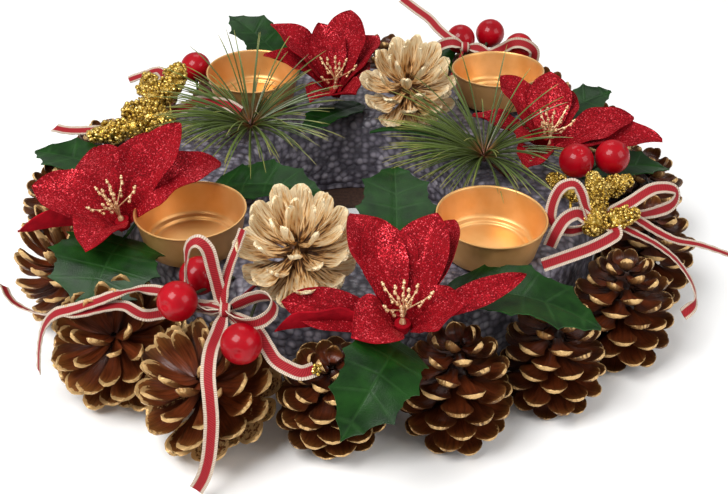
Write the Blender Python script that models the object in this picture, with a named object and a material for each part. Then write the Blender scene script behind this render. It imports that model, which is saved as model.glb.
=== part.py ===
# Advent wreath: a foam ring on a thin base ring, with four candle cups, pine cones,
# fabric poinsettias with leaves, berries, glitter picks, pine sprays and ribbon bows.
# Metres, +Z up. The wreath lies on z = 0, with its middle at x = y = 0 while it is built.

import math
import random

import bmesh
import bpy
from mathutils import Matrix, Vector
from mathutils.bvhtree import BVHTree

MM = 0.001
CLEAR = 0.3 * MM

# Base ring and foam ring
BASE_INNER = 34 * MM
BASE_OUTER = 104 * MM
BASE_THICK = 3 * MM
FOAM_INNER = 48 * MM
FOAM_OUTER = 108 * MM
FOAM_TOP = 44 * MM
FOAM_ROUND = 9 * MM
RING_SIDES = 36

# Candle cups
CUP_RIM_RADIUS = 22.5 * MM
CUP_BASE_RADIUS = 19 * MM
CUP_HEIGHT = 15.7 * MM
CUP_WALL = 0.7 * MM
CUP_STEP_RADIUS = 16.5 * MM
CUP_STEP_HEIGHT = 1.5 * MM
CUP_SIDES = 20

# Pine cones: the core's radius, and its foot, rows and top as shares of the height
CONE_CORE = 5.5 * MM
CORE_FOOT = 0.12
CORE_TOP = 0.90
FIRST_ROW = 0.20
ROW_STEP = 0.14
SCALE_EDGE = 1.1 * MM

# Fabric, wire and ribbon
PETAL_THICK = 0.7 * MM
LEAF_THICK = 0.7 * MM
RIBBON_WIDTH = 6 * MM
RIBBON_THICK = 0.6 * MM
WIRE_RADIUS = 0.7 * MM
WIRE_KNEE = 3 * MM
BERRY_RADIUS = 7.5 * MM
NEEDLE_RADIUS = 0.5 * MM


def point(x, y, z):
    """A place given in millimetres."""
    return Vector((x, y, z)) * MM


def material(name, colour, roughness, metallic=0.0):
    made = bpy.data.materials.new(name)
    made.use_nodes = True
    shader = made.node_tree.nodes["Principled BSDF"]
    shader.inputs["Base Color"].default_value = (*colour, 1.0)
    shader.inputs["Roughness"].default_value = roughness
    shader.inputs["Metallic"].default_value = metallic
    return made


for old in list(bpy.data.objects):
    bpy.data.objects.remove(old, do_unlink=True)

BOARD = material("brown_board", (0.10, 0.05, 0.02), 0.8)
FOAM = material("dark_bead_foam", (0.06, 0.055, 0.07), 0.75)
GOLD_METAL = material("gold_metal", (0.72, 0.44, 0.14), 0.3, 1.0)
CONE_WOOD = material("pine_cone", (0.14, 0.055, 0.02), 0.6)
GOLD_PAINT = material("gold_paint", (0.62, 0.40, 0.17), 0.45, 0.4)
RED_FABRIC = material("red_glitter_fabric", (0.50, 0.01, 0.03), 0.6)
PIP_GOLD = material("gold_pips", (0.75, 0.55, 0.28), 0.35, 0.6)
LEAF_GREEN = material("green_leaf_fabric", (0.02, 0.10, 0.02), 0.45)
BERRY_RED = material("red_lacquer", (0.55, 0.0, 0.01), 0.1)
GLITTER = material("gold_glitter", (0.55, 0.36, 0.05), 0.4, 0.7)
NEEDLE_GREEN = material("pine_needles", (0.05, 0.14, 0.03), 0.5)
RIBBON_RED = material("red_ribbon", (0.60, 0.02, 0.03), 0.7)


def new_object(name, bm, finish, smooth=True):
    mesh = bpy.data.meshes.new(name)
    bm.to_mesh(mesh)
    bm.free()
    if smooth:
        mesh.shade_smooth()
        mesh.set_sharp_from_angle(angle=math.radians(40))
    mesh.materials.append(finish)
    made = bpy.data.objects.new(name, mesh)
    bpy.context.scene.collection.objects.link(made)
    return made


# Surfaces of the nodes made so far, by name, which later ones stay clear of
standing = {}


def settle(made):
    bpy.context.view_layer.update()
    corners = [made.matrix_world @ vertex.co for vertex in made.data.vertices]
    faces = [list(face.vertices) for face in made.data.polygons]
    standing[made.name] = BVHTree.FromPolygons(corners, faces)


def crosses(surface):
    return any(surface.overlap(other) for other in standing.values())


def too_near(co, reach):
    return any(other.find_nearest(co, reach)[0] is not None for other in standing.values())


FLAT_ANGLE = math.radians(0.2)
WELD = 0.0005 * MM


def keep_main_body(mesh):
    """Drop the scraps that a union can leave, and join the splits in its flat faces."""
    bm = bmesh.new()
    bm.from_mesh(mesh)
    bmesh.ops.remove_doubles(bm, verts=bm.verts, dist=WELD)
    waiting = set(bm.verts)
    bodies = []
    while waiting:
        found = {waiting.pop()}
        edge_of_found = list(found)
        while edge_of_found:
            vert = edge_of_found.pop()
            for edge in vert.link_edges:
                other = edge.other_vert(vert)
                if other not in found:
                    found.add(other)
                    edge_of_found.append(other)
        waiting -= found
        bodies.append(found)
    main = max(bodies, key=len)
    bmesh.ops.delete(bm, geom=[v for v in bm.verts if v not in main], context="VERTS")
    bmesh.ops.dissolve_limit(
        bm, angle_limit=FLAT_ANGLE, use_dissolve_boundaries=False, verts=bm.verts, edges=bm.edges
    )
    bmesh.ops.triangulate(bm, faces=bm.faces)
    bm.to_mesh(mesh)
    bm.free()


def fuse(name, pieces, finish):
    """One closed body made of pieces that overlap, by one union with a collection."""
    whole = pieces[0]
    rest = bpy.data.collections.new(name + "_pieces")
    bpy.context.scene.collection.children.link(rest)
    for piece in pieces[1:]:
        bpy.context.scene.collection.objects.unlink(piece)
        rest.objects.link(piece)
    union = whole.modifiers.new("union", "BOOLEAN")
    union.operation = "UNION"
    union.solver = "MANIFOLD"
    union.operand_type = "COLLECTION"
    union.collection = rest
    graph = bpy.context.evaluated_depsgraph_get()
    joined = bpy.data.meshes.new_from_object(whole.evaluated_get(graph))
    keep_main_body(joined)
    whole.modifiers.clear()
    whole.data = joined
    joined.materials.clear()
    joined.materials.append(finish)
    for piece in list(rest.objects):
        bpy.data.objects.remove(piece, do_unlink=True)
    bpy.data.collections.remove(rest)
    whole.name = name
    joined.name = name
    return whole


def turned(profile, sides, closed_ring):
    """A surface of revolution. A ring's profile is a loop; a cup's runs from pole to pole."""
    bm = bmesh.new()
    rows = []
    for radius, height in profile:
        if radius == 0:
            rows.append([bm.verts.new((0, 0, height))])
            continue
        row = []
        for i in range(sides):
            angle = math.tau * i / sides
            row.append(bm.verts.new((radius * math.cos(angle), radius * math.sin(angle), height)))
        rows.append(row)
    pairs = list(zip(rows, rows[1:]))
    if closed_ring:
        pairs.append((rows[-1], rows[0]))
    for lower, upper in pairs:
        for i in range(sides):
            j = (i + 1) % sides
            if len(lower) == 1:
                bm.faces.new((lower[0], upper[j], upper[i]))
            elif len(upper) == 1:
                bm.faces.new((lower[i], lower[j], upper[0]))
            else:
                bm.faces.new((lower[i], lower[j], upper[j], upper[i]))
    bmesh.ops.recalc_face_normals(bm, faces=bm.faces)
    return bm


def base_ring():
    loop = (
        (BASE_INNER, 0),
        (BASE_OUTER, 0),
        (BASE_OUTER, BASE_THICK),
        (BASE_INNER, BASE_THICK),
    )
    settle(new_object("base_ring", turned(loop, RING_SIDES, True), BOARD))


def foam_ring():
    foot = BASE_THICK + CLEAR
    loop = [(FOAM_INNER, foot), (FOAM_OUTER, foot)]
    for step in range(3):
        turn = math.radians(45 * step)
        loop.append(
            (
                FOAM_OUTER - FOAM_ROUND * (1 - math.cos(turn)),
                FOAM_TOP - FOAM_ROUND * (1 - math.sin(turn)),
            )
        )
    for step in range(3):
        turn = math.radians(90 - 45 * step)
        loop.append(
            (
                FOAM_INNER + FOAM_ROUND * (1 - math.cos(turn)),
                FOAM_TOP - FOAM_ROUND * (1 - math.sin(turn)),
            )
        )
    settle(new_object("foam_ring", turned(loop, RING_SIDES, True), FOAM))


# Each cup's middle in plan and how far it leans about X and Y, in degrees
CUPS = {
    "cup_front_left": (-66.6, -65.3, -1.0, -1.8),
    "cup_front_right": (53.1, -64.2, 1.3, 1.0),
    "cup_back_left": (-53.1, 61.7, 1.5, -0.7),
    "cup_back_right": (66.6, 67.7, -3.2, -1.1),
}


def candle_cup(name, x, y, lean_x, lean_y):
    inner_foot = CUP_BASE_RADIUS - CUP_WALL
    profile = (
        (0, 0),
        (CUP_BASE_RADIUS, 0),
        (CUP_RIM_RADIUS, CUP_HEIGHT),
        (CUP_RIM_RADIUS - CUP_WALL, CUP_HEIGHT),
        (inner_foot, CUP_WALL + CUP_STEP_HEIGHT),
        (CUP_STEP_RADIUS, CUP_WALL + CUP_STEP_HEIGHT),
        (CUP_STEP_RADIUS, CUP_WALL),
        (0, CUP_WALL),
    )
    cup = new_object(name, turned(profile, CUP_SIDES, False), GOLD_METAL)
    cup.rotation_euler = (math.radians(lean_x), math.radians(lean_y), 0)
    lift = CUP_BASE_RADIUS * math.hypot(math.radians(lean_x), math.radians(lean_y))
    cup.location = (x * MM, y * MM, FOAM_TOP + CLEAR + lift)
    settle(cup)


# Rows of cone scales from the foot up: the tip's radius and height as shares of the
# cone's, and the share of its room in the row that a scale's tip fills
BROWN_ROWS = (
    (0.78, 0.06, 0.84),
    (1.00, 0.27, 0.74),
    (0.99, 0.50, 0.72),
    (0.86, 0.76, 0.70),
    (0.52, 0.98, 0.66),
)
GOLD_ROWS = (
    (0.84, 0.10, 0.84),
    (1.00, 0.34, 0.84),
    (0.96, 0.58, 0.84),
    (0.74, 0.80, 0.76),
    (0.36, 0.98, 0.66),
)


def cone_mesh(radius, height, rows, scales, twist, rng):
    """A core tiled with diamonds, each drawn out into one scale, so the cone is one body."""
    bm = bmesh.new()
    count = len(rows)
    pitch = math.tau / scales
    rings = [[bm.verts.new((0, 0, CORE_FOOT * height))] * scales]
    for k in range(1, count + 1):
        level = (FIRST_ROW + ROW_STEP * (k - 1)) * height
        girth = CONE_CORE * (1.08 - 0.12 * k)
        ring = []
        for i in range(scales):
            angle = pitch * (i + 0.5 * (k % 2)) + twist * k
            ring.append(bm.verts.new((girth * math.cos(angle), girth * math.sin(angle), level)))
        rings.append(ring)
    rings.append([bm.verts.new((0, 0, CORE_TOP * height))] * scales)
    for k in range(1, count + 1):
        reach, level, fullness = rows[k - 1]
        shift = k % 2
        for i in range(scales):
            left = rings[k][i]
            right = rings[k][(i + 1) % scales]
            over = rings[k + 1][(i + shift) % scales]
            under = rings[k - 1][(i + shift) % scales]
            angle = pitch * (i + 0.5 + 0.5 * shift) + twist * k + math.radians(rng.uniform(-2, 2))
            out = Vector((math.cos(angle), math.sin(angle), 0))
            aside = Vector((-out.y, out.x, 0))
            root = out * CONE_CORE
            root.z = (FIRST_ROW + ROW_STEP * (k - 1)) * height
            tip = out * radius * reach * rng.uniform(0.95, 1.0)
            tip.z = height * level + rng.uniform(-0.8, 0.8) * MM
            along = (tip - root).normalized()
            across = along.cross(aside).normalized()
            if across.z < 0:
                across.negate()
            wide = aside * radius * reach * fullness * math.sin(pitch / 2)
            thick = across * SCALE_EDGE
            low_left, low_right, ridge = (
                bm.verts.new(tip + offset) for offset in (-wide - thick, wide - thick, thick)
            )
            bm.faces.new((left, under, low_left))
            bm.faces.new((under, low_right, low_left))
            bm.faces.new((under, right, low_right))
            bm.faces.new((right, over, ridge, low_right))
            bm.faces.new((over, left, low_left, ridge))
            bm.faces.new((low_left, low_right, ridge))
    bmesh.ops.triangulate(bm, faces=bm.faces)
    return bm


# Brown cones round the foam: bearing, lean outwards and lean aside in degrees, width,
# height and glue gap in millimetres, and scales in a row
BROWN_CONES = (
    (5.5, 6, 0, 43, 47, 0, 8),
    (25, 5, 0, 43, 46, 0, 7),
    (45, 6, 0, 43, 47, 0, 7),
    (65, 4, 0, 43, 46, 0, 7),
    (85, 6, 0, 43, 46, 0, 7),
    (105, 5, 0, 43, 47, 0, 7),
    (125, 7, 0, 43, 46, 0, 7),
    (145, 5, 0, 43, 46, 0, 7),
    (164, 6, 0, 43, 47, 0, 7),
    (184, 8, 0, 43, 47, 0, 7),
    (206, 10, 0, 46, 48, 0, 8),
    (226.5, 30, -22, 51, 40, 5, 8),
    (249, 22, 12, 53, 40, 6, 8),
    (266.5, 14, 0, 43, 42, 0, 8),
    (287, 0, 0, 43.5, 49, 0, 8),
    (305, -4, 0, 43, 53, 0, 8),
    (324.5, -3, 0, 43, 49, 0, 8),
    (345, 3, 0, 43, 49, 0, 8),
)
TURNS_TRIED = 24
SHRINK = 0.98


def brown_cone(name, bearing, lean, aside, width, height, gap, scales, rng):
    """A cone on the floor against the foam, turned about itself until its scales clear the rest."""
    twist = math.radians(rng.uniform(2, 5))
    shape = cone_mesh(width * MM / 2, height * MM, BROWN_ROWS, scales, twist, rng)
    faces = [[vertex.index for vertex in face.verts] for face in shape.faces]
    corners = [vertex.co.copy() for vertex in shape.verts]
    facing = math.radians(bearing)
    outward = Vector((math.cos(facing), math.sin(facing), 0))
    upright = Matrix.Rotation(facing, 4, "Z") @ Matrix.Rotation(math.radians(aside), 4, "X")
    upright = upright @ Matrix.Rotation(math.radians(lean), 4, "Y")
    first_turn = rng.uniform(0, math.tau)
    size = 1.0
    tries = 0
    while True:
        spin = Matrix.Rotation(first_turn + math.tau * tries / TURNS_TRIED, 4, "Z")
        place = upright @ spin @ Matrix.Scale(size, 4)
        placed = [place @ co for co in corners]
        lift = 0.5 * MM - min(co.z for co in placed)
        low = [co for co in placed if co.z + lift < FOAM_TOP - FOAM_ROUND]
        away = FOAM_OUTER
        while min((co + outward * away).xy.length for co in low) < FOAM_OUTER + CLEAR:
            away += 0.1 * MM
        offset = outward * (away + gap * MM) + Vector((0, 0, lift))
        surface = BVHTree.FromPolygons([co + offset for co in placed], faces)
        if not crosses(surface):
            break
        tries += 1
        if tries % TURNS_TRIED == 0:
            size *= SHRINK
    cone = new_object(name, shape, CONE_WOOD, smooth=False)
    cone.matrix_world = Matrix.Translation(offset) @ place
    settle(cone)


GOLD_SCALES = 8

# Gold painted cones on the foam: middle in plan, lean in degrees, bearing of the lean,
# width and height in millimetres
GOLD_CONES = {
    "gold_cone_front": (-23, -86, 46, 274, 46, 42),
    "gold_cone_back": (22, 54, 44, 266, 43, 40),
}


def gold_cone(name, x, y, lean, bearing, width, height, rng):
    twist = math.radians(rng.uniform(2, 5))
    cone = new_object(
        name,
        cone_mesh(width * MM / 2, height * MM, GOLD_ROWS, GOLD_SCALES, twist, rng),
        GOLD_PAINT,
        smooth=False,
    )
    place = Matrix.Rotation(math.radians(bearing), 4, "Z")
    place = place @ Matrix.Rotation(math.radians(lean), 4, "Y")
    lift = FOAM_TOP + CLEAR - min((place @ vertex.co).z for vertex in cone.data.vertices)
    cone.matrix_world = Matrix.Translation((x * MM, y * MM, lift)) @ place
    settle(cone)


# Outlines as (share of the way along the midrib, the same for the edge, half width)
PETAL_OUTLINE = ((0.0, 0.0, 0.13), (0.30, 0.30, 0.72), (0.60, 0.58, 1.0), (0.86, 0.84, 0.62))
LEAF_OUTLINE = (
    (0.0, 0.0, 0.10),
    (0.16, 0.20, 0.78),
    (0.30, 0.30, 0.58),
    (0.42, 0.48, 1.0),
    (0.58, 0.58, 0.66),
    (0.66, 0.74, 0.84),
)

# The way from the wreath to a viewer in front of it, which the trimmings mostly face
TO_VIEWER = Vector((0, -0.83, 0.56))
NUDGE = 0.5 * MM
MOST_NUDGES = 30


def blade(root, tip, half_width, outline, thick, arch=0.0, roll=0.0, fold=0.12):
    """A thin closed blade with a crease along its midrib, split alike on both faces."""
    bm = bmesh.new()
    chord = tip - root
    aside = chord.cross(Vector((0, 0, 1))).normalized()
    aside = Matrix.Rotation(math.radians(roll), 3, chord.normalized()) @ aside
    face = aside.cross(chord).normalized()

    def midrib(share):
        return root + chord * share + face * arch * 4 * share * (1 - share)

    rows = []
    for along, edge_along, width in outline:
        middle = midrib(along)
        edge = midrib(edge_along) + face * fold * width * half_width
        wide = aside * width * half_width
        rows.append((edge - wide, middle, edge + wide))
    tops, bottoms = [], []
    for row in rows:
        tops.append([bm.verts.new(co + face * thick / 2) for co in row])
        bottoms.append([bm.verts.new(co - face * thick / 2) for co in row])
    tip_top = bm.verts.new(tip + face * thick / 2)
    tip_bottom = bm.verts.new(tip - face * thick / 2)
    for sheet, end in ((tops, tip_top), (bottoms, tip_bottom)):
        for near, far in zip(sheet, sheet[1:]):
            bm.faces.new((near[0], near[1], far[0]))
            bm.faces.new((near[1], far[1], far[0]))
            bm.faces.new((near[1], near[2], far[2]))
            bm.faces.new((near[1], far[2], far[1]))
        bm.faces.new((sheet[-1][0], sheet[-1][1], end))
        bm.faces.new((sheet[-1][1], sheet[-1][2], end))
    for side in (0, 2):
        line_top = [row[side] for row in tops] + [tip_top]
        line_bottom = [row[side] for row in bottoms] + [tip_bottom]
        for i in range(len(line_top) - 1):
            bm.faces.new((line_top[i], line_top[i + 1], line_bottom[i + 1], line_bottom[i]))
    for a, b in ((0, 1), (1, 2)):
        bm.faces.new((tops[0][a], tops[0][b], bottoms[0][b], bottoms[0][a]))
    bmesh.ops.recalc_face_normals(bm, faces=bm.faces)
    bmesh.ops.triangulate(bm, faces=[f for f in bm.faces if len(f.verts) > 3])
    return bm


def clear_blade(root, tip, half_width, outline, thick, arch, roll):
    """A blade bent and turned a little until it lies clear of what stands already."""
    for step in range(2 * MOST_NUDGES):
        bend = NUDGE * ((step + 1) // 2) * (1 if step % 2 else -1)
        for turn in (0, 8, -8, 16, -16):
            shape = (root, tip + TO_VIEWER * bend, half_width, outline)
            hump = arch + bend / 2
            guard = blade(*shape, thick + 2 * CLEAR, hump, roll + turn)
            surface = BVHTree.FromBMesh(guard)
            guard.free()
            if not crosses(surface):
                return blade(*shape, thick, hump, roll + turn)
    return blade(root, tip, half_width, outline, thick, arch, roll)


def tube(path, radii, sides):
    """A closed tube along a few points; a last radius of nought makes a pointed end."""
    bm = bmesh.new()
    rows = []
    guide = Vector((0.31, 0.17, 0.93))
    for i, (co, radius) in enumerate(zip(path, radii)):
        ahead = path[min(i + 1, len(path) - 1)] - path[max(i - 1, 0)]
        first = ahead.cross(guide).normalized()
        second = ahead.cross(first).normalized()
        if radius == 0:
            rows.append([bm.verts.new(co)])
            continue
        row = []
        for k in range(sides):
            angle = math.tau * k / sides
            row.append(
                bm.verts.new(co + (first * math.cos(angle) + second * math.sin(angle)) * radius)
            )
        rows.append(row)
    for near, far in zip(rows, rows[1:]):
        for k in range(sides):
            m = (k + 1) % sides
            if len(far) == 1:
                bm.faces.new((near[k], near[m], far[0]))
            else:
                bm.faces.new((near[k], near[m], far[m], far[k]))
    bm.faces.new(rows[0])
    if len(rows[-1]) > 1:
        bm.faces.new(rows[-1])
    bmesh.ops.recalc_face_normals(bm, faces=bm.faces)
    bmesh.ops.triangulate(bm, faces=bm.faces)
    return bm


def wire_to_foam(start, x, y):
    """A thin wire that ends straight above the foam, as near as its end may come."""
    foam = standing["foam_ring"]
    above = Vector((x * MM, y * MM, 2 * FOAM_TOP))
    seat = foam.ray_cast(above, Vector((0, 0, -1)))[0]
    raised = CLEAR
    while True:
        foot = seat + Vector((0, 0, raised))
        knee = foot + (start - foot).normalized() * WIRE_KNEE
        wire = tube([start, knee, foot], [WIRE_RADIUS] * 3, 4)
        nearest = min(foam.find_nearest(vert.co)[3] for vert in wire.verts)
        if nearest >= 0.95 * CLEAR:
            return wire
        wire.free()
        raised += 0.1 * MM


# Each bloom's heart, the way it faces, the end of its wire stem on the foam, and its
# petals as (tip, half width, arch, roll), all in millimetres and degrees
BLOOMS = {
    "left": {
        "heart": (-95, -65, 55),
        "axis": (-0.25, -0.15, 1),
        "stem": (-95, -32),
        "petals": (
            ((-130, -62, 68), 11, 4, -25),
            ((-134, -76, 54), 8, 3, 60),
            ((-110, -30, 69), 11, 4, -10),
            ((-86, -30, 74), 10.5, 4, 10),
            ((-74, -32, 78), 9, 4, 15),
            ((-68, -47, 71), 9, 8, 10),
            ((-57, -33, 66), 8, 13, 0),
            ((-104, -92, 58), 11, 5, 0),
        ),
    },
    "front": {
        "heart": (17, -127, 54),
        "axis": (0, -0.1, 1),
        "stem": (24, -100),
        "petals": (
            ((-3, -87, 74), 10, 3, 10),
            ((5, -102, 82), 11, 3, 0),
            ((29, -100, 84), 11, 3, 0),
            ((37, -92, 75), 10, 3, -10),
            ((61, -113, 67), 7, 3, 30),
            ((40, -134, 67), 10, 4, 20),
            ((-1, -143, 60), 11, 4, -20),
            ((-27, -120, 57), 8, 3, -40),
            ((-29, -128, 50), 9, 2, 50),
        ),
    },
    "back": {
        "heart": (-13, 57, 54),
        "axis": (0, -0.25, 1),
        "stem": (-13, 72),
        "petals": (
            ((-45, 73, 80), 10, 3, 0),
            ((-48, 57, 70), 9, 4, 0),
            ((-22, 76, 80), 9, 3, 0),
            ((-6, 86, 82), 11, 3, 0),
            ((8, 80, 71), 9, 3, 0),
            ((4, 68, 62), 8, 2, 0),
            ((-24, 38, 56), 8, 3, 0),
            ((-2, 36, 60), 8, 3, 0),
        ),
    },
    "right": {
        "heart": (84.5, 7, 54),
        "axis": (0.1, -0.1, 1),
        "stem": (82, 22),
        "petals": (
            ((62, 27, 77), 10, 3, 0),
            ((86, 33, 77), 10, 3, 0),
            ((95, 30, 69), 9, 3, 0),
            ((122, 10, 67), 8, 4, 30),
            ((134, 0, 60), 10, 4, 10),
            ((51, 22, 60), 7, 2, 0),
            ((68, -6, 63), 8, 3, 0),
            ((71, -22, 57), 8, 3, 0),
        ),
    },
}
CALYX_RADIUS = 4 * MM
CALYX_DEPTH = 4 * MM


def bloom(name, heart, axis, stem, petals):
    """Petals sunk into a small calyx on a wire stem that ends on the foam."""
    middle = point(*heart)
    up = Vector(axis).normalized()
    calyx_end = middle - up * CALYX_DEPTH
    calyx = tube([middle, calyx_end], [CALYX_RADIUS, 0.7 * CALYX_RADIUS], 8)
    pieces = [
        new_object("calyx", calyx, RED_FABRIC),
        new_object("stem", wire_to_foam(middle - up * CALYX_DEPTH * 0.7, *stem), RED_FABRIC),
    ]
    for k, (tip, half_width, arch, roll) in enumerate(petals):
        end = point(*tip)
        root = middle - up * CALYX_DEPTH * (0.3, 0.55)[k % 2]
        flat = (end - root) - up * (end - root).dot(up)
        root += flat.normalized() * CALYX_RADIUS * 0.55
        shape = clear_blade(
            root, end, half_width * MM, PETAL_OUTLINE, PETAL_THICK, arch * MM, roll
        )
        pieces.append(new_object("petal", shape, RED_FABRIC))
    settle(fuse("bloom_" + name, pieces, RED_FABRIC))


STAMENS = 7
STAMEN_LENGTH = 16 * MM


def stamens(name, heart, axis, rng):
    """Gold pips on thin stems that fan out of the heart of a bloom."""
    up = Vector(axis).normalized()
    first = up.cross(Vector((0, 1, 0))).normalized()
    second = up.cross(first)
    foot = point(*heart) + up * CLEAR
    boss = tube([foot, foot + up * 2 * MM], [2.2 * MM, 1.6 * MM], 5)
    pieces = [new_object("boss", boss, PIP_GOLD)]
    for k in range(STAMENS):
        angle = math.tau * (k + rng.uniform(-0.2, 0.2)) / STAMENS
        length = STAMEN_LENGTH * rng.uniform(0.8, 1.1)
        for narrowing in range(5):
            spread = math.radians((14, 27)[k % 2]) * (1 - 0.2 * narrowing)
            way = up * math.cos(spread)
            way += (first * math.cos(angle) + second * math.sin(angle)) * math.sin(spread)
            neck = foot + up * MM + way * length
            stalk = tube(
                [foot + up * MM, neck, neck + way * 1.5 * MM, neck + way * 4 * MM],
                [0.45 * MM, 0.45 * MM, 1.5 * MM, 0.4 * MM],
                3,
            )
            if not crosses(BVHTree.FromBMesh(stalk)):
                break
        pieces.append(new_object("stalk", stalk, PIP_GOLD))
    settle(fuse("stamens_" + name, pieces, PIP_GOLD))


# Leaves: root, tip, half width, arch and roll, and where a wire from the root ends on
# the foam if the root itself isn't on it, in millimetres and degrees
LEAVES = {
    "left_low": ((-92, -77, 50.5), (-102, -105, 41.5), 21, 5, -7, (-91, -38)),
    "left_high": ((-92, -22, 44.8), (-147, 2, 47), 16, 3, 0, None),
    "inner_left": ((-64, -22, 44.8), (-16, -31, 49), 17, 3, 0, None),
    "back_left": ((-34, 88, 44.8), (-70, 114, 66), 16, 3, 0, None),
    "back_right": ((34, 84, 44.8), (45, 118, 54), 8, 2, 0, None),
    "inner_back": ((62, 14, 44.8), (4, 17, 52), 9, 5, 15, None),
    "inner_mid": ((0, 59, 44.8), (-28, 27, 48), 9, 1, 0, None),
    "right_high": ((86, 36, 44.8), (118, 44, 62), 15, 3, 0, None),
    "right_low": ((94, -4, 44.8), (139, -1, 47), 12, 3, 0, None),
    "inner_front": ((16, -80, 44.8), (15, -20, 56), 17, 4, 0, None),
    "front_low": ((16, -126.5, 45), (-4, -165, 31.5), 15.5, 13.5, -22, (10, -96)),
    "front_right": ((38, -90, 44.8), (91, -109, 40), 13, 4, 0, None),
}


def leaf(name, root, tip, half_width, arch, roll, foot):
    start = point(*root)
    shape = clear_blade(
        start, point(*tip), half_width * MM, LEAF_OUTLINE, LEAF_THICK, arch * MM, roll
    )
    made = new_object("leaf_" + name, shape, LEAF_GREEN)
    if foot:
        inside = start + (point(*tip) - start).normalized() * WIRE_RADIUS
        wire = new_object("wire", wire_to_foam(inside, *foot), LEAF_GREEN)
        fuse(made.name, [made, wire], LEAF_GREEN)
    settle(made)


# Berry picks: where the wires end on the foam, and the berries' middles, in millimetres
BERRIES = {
    "front_left": ((-48, -88), ((-65, -119, 55.5), (-60, -98, 52))),
    "front": ((-36, -90), ((-40, -134, 49),)),
    "right": ((92, -12), ((93, -20, 61), (109, -16, 61))),
    "back": ((56, 87), ((50.5, 111, 57), (66.5, 119, 57), (80, 102, 57))),
    "left": ((-80, 56), ((-83.5, 77, 54),)),
}


def ball(centre, radius, sides, rows):
    profile = [(0, -radius)]
    for k in range(1, rows):
        angle = math.pi * k / rows
        profile.append((radius * math.sin(angle), -radius * math.cos(angle)))
    profile.append((0, radius))
    bm = turned(profile, sides, False)
    bmesh.ops.translate(bm, vec=centre, verts=bm.verts)
    return bm


def berry_pick(name, foot, centres):
    pieces = []
    for centre in centres:
        middle = point(*centre)
        for _ in range(MOST_NUDGES):
            if too_near(middle, BERRY_RADIUS + 2 * CLEAR):
                middle += TO_VIEWER * NUDGE
        pieces.append(new_object("berry", ball(middle, BERRY_RADIUS, 10, 6), BERRY_RED))
        pieces.append(new_object("wire", wire_to_foam(middle, *foot), BERRY_RED))
    settle(fuse("berries_" + name, pieces, BERRY_RED))


# Glitter picks: the foot of the pick and each lobe as (start, end, radius), in millimetres
GLITTER_PICKS = {
    "left": (
        (-88, 28),
        (
            ((-90, 18, 54), (-104, 20, 57), 8),
            ((-102, 12, 55), (-120, 8, 53), 5),
            ((-97, 30, 57), (-102, 48, 60), 6),
            ((-93, 38, 57), (-89, 58, 61), 5.5),
        ),
    ),
    "right": (
        (90, -38),
        (
            ((97, -50, 52), (97, -34, 65), 5.5),
            ((92, -33, 51), (84, -19, 51), 4),
            ((101, -34, 54), (113, -28, 56), 4.5),
            ((101, -48, 48), (110, -52, 50), 5),
        ),
    ),
}
KNOBS_ROUND = 8
KNOB_ROWS = 6
KNOB_HEIGHT = 1.0 * MM


def knobbly_lobe(start, end, radius):
    """A finger of round beads, raised by a formula: every other point stands out."""
    bm = bmesh.new()
    axis = end - start
    first = axis.cross(Vector((0.2, 0.1, 1))).normalized()
    second = axis.cross(first).normalized()
    rings = [[bm.verts.new(start - axis.normalized() * radius * 0.4)]]
    for k in range(1, KNOB_ROWS):
        share = k / KNOB_ROWS
        girth = radius * math.sin(math.pi * (0.16 + 0.72 * share)) ** 0.6
        ring = []
        for i in range(KNOBS_ROUND):
            angle = math.tau * i / KNOBS_ROUND
            out = girth + (KNOB_HEIGHT if (i + k) % 2 else -KNOB_HEIGHT)
            spoke = first * math.cos(angle) + second * math.sin(angle)
            ring.append(bm.verts.new(start + axis * share + spoke * out))
        rings.append(ring)
    rings.append([bm.verts.new(end + axis.normalized() * radius * 0.4)])
    for near, far in zip(rings, rings[1:]):
        for i in range(KNOBS_ROUND):
            j = (i + 1) % KNOBS_ROUND
            if len(near) == 1:
                bm.faces.new((near[0], far[i], far[j]))
            elif len(far) == 1:
                bm.faces.new((near[i], near[j], far[0]))
            else:
                bm.faces.new((near[i], near[j], far[j], far[i]))
    bmesh.ops.recalc_face_normals(bm, faces=bm.faces)
    bmesh.ops.triangulate(bm, faces=bm.faces)
    return bm


def glitter_pick(name, foot, lobes):
    pieces = []
    for start, end, radius in lobes:
        near, far = point(*start), point(*end)
        pieces.append(new_object("lobe", knobbly_lobe(near, far, radius * MM), GLITTER))
        wire = wire_to_foam(near + (far - near) * 0.2, *foot)
        pieces.append(new_object("wire", wire, GLITTER))
    settle(fuse("glitter_" + name, pieces, GLITTER))


KNOT_SIZE = 3.4 * MM
PINCH = 0.4
RIBBON_CLEAR = 3.6 * MM

LOOP, TAIL = True, False

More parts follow.
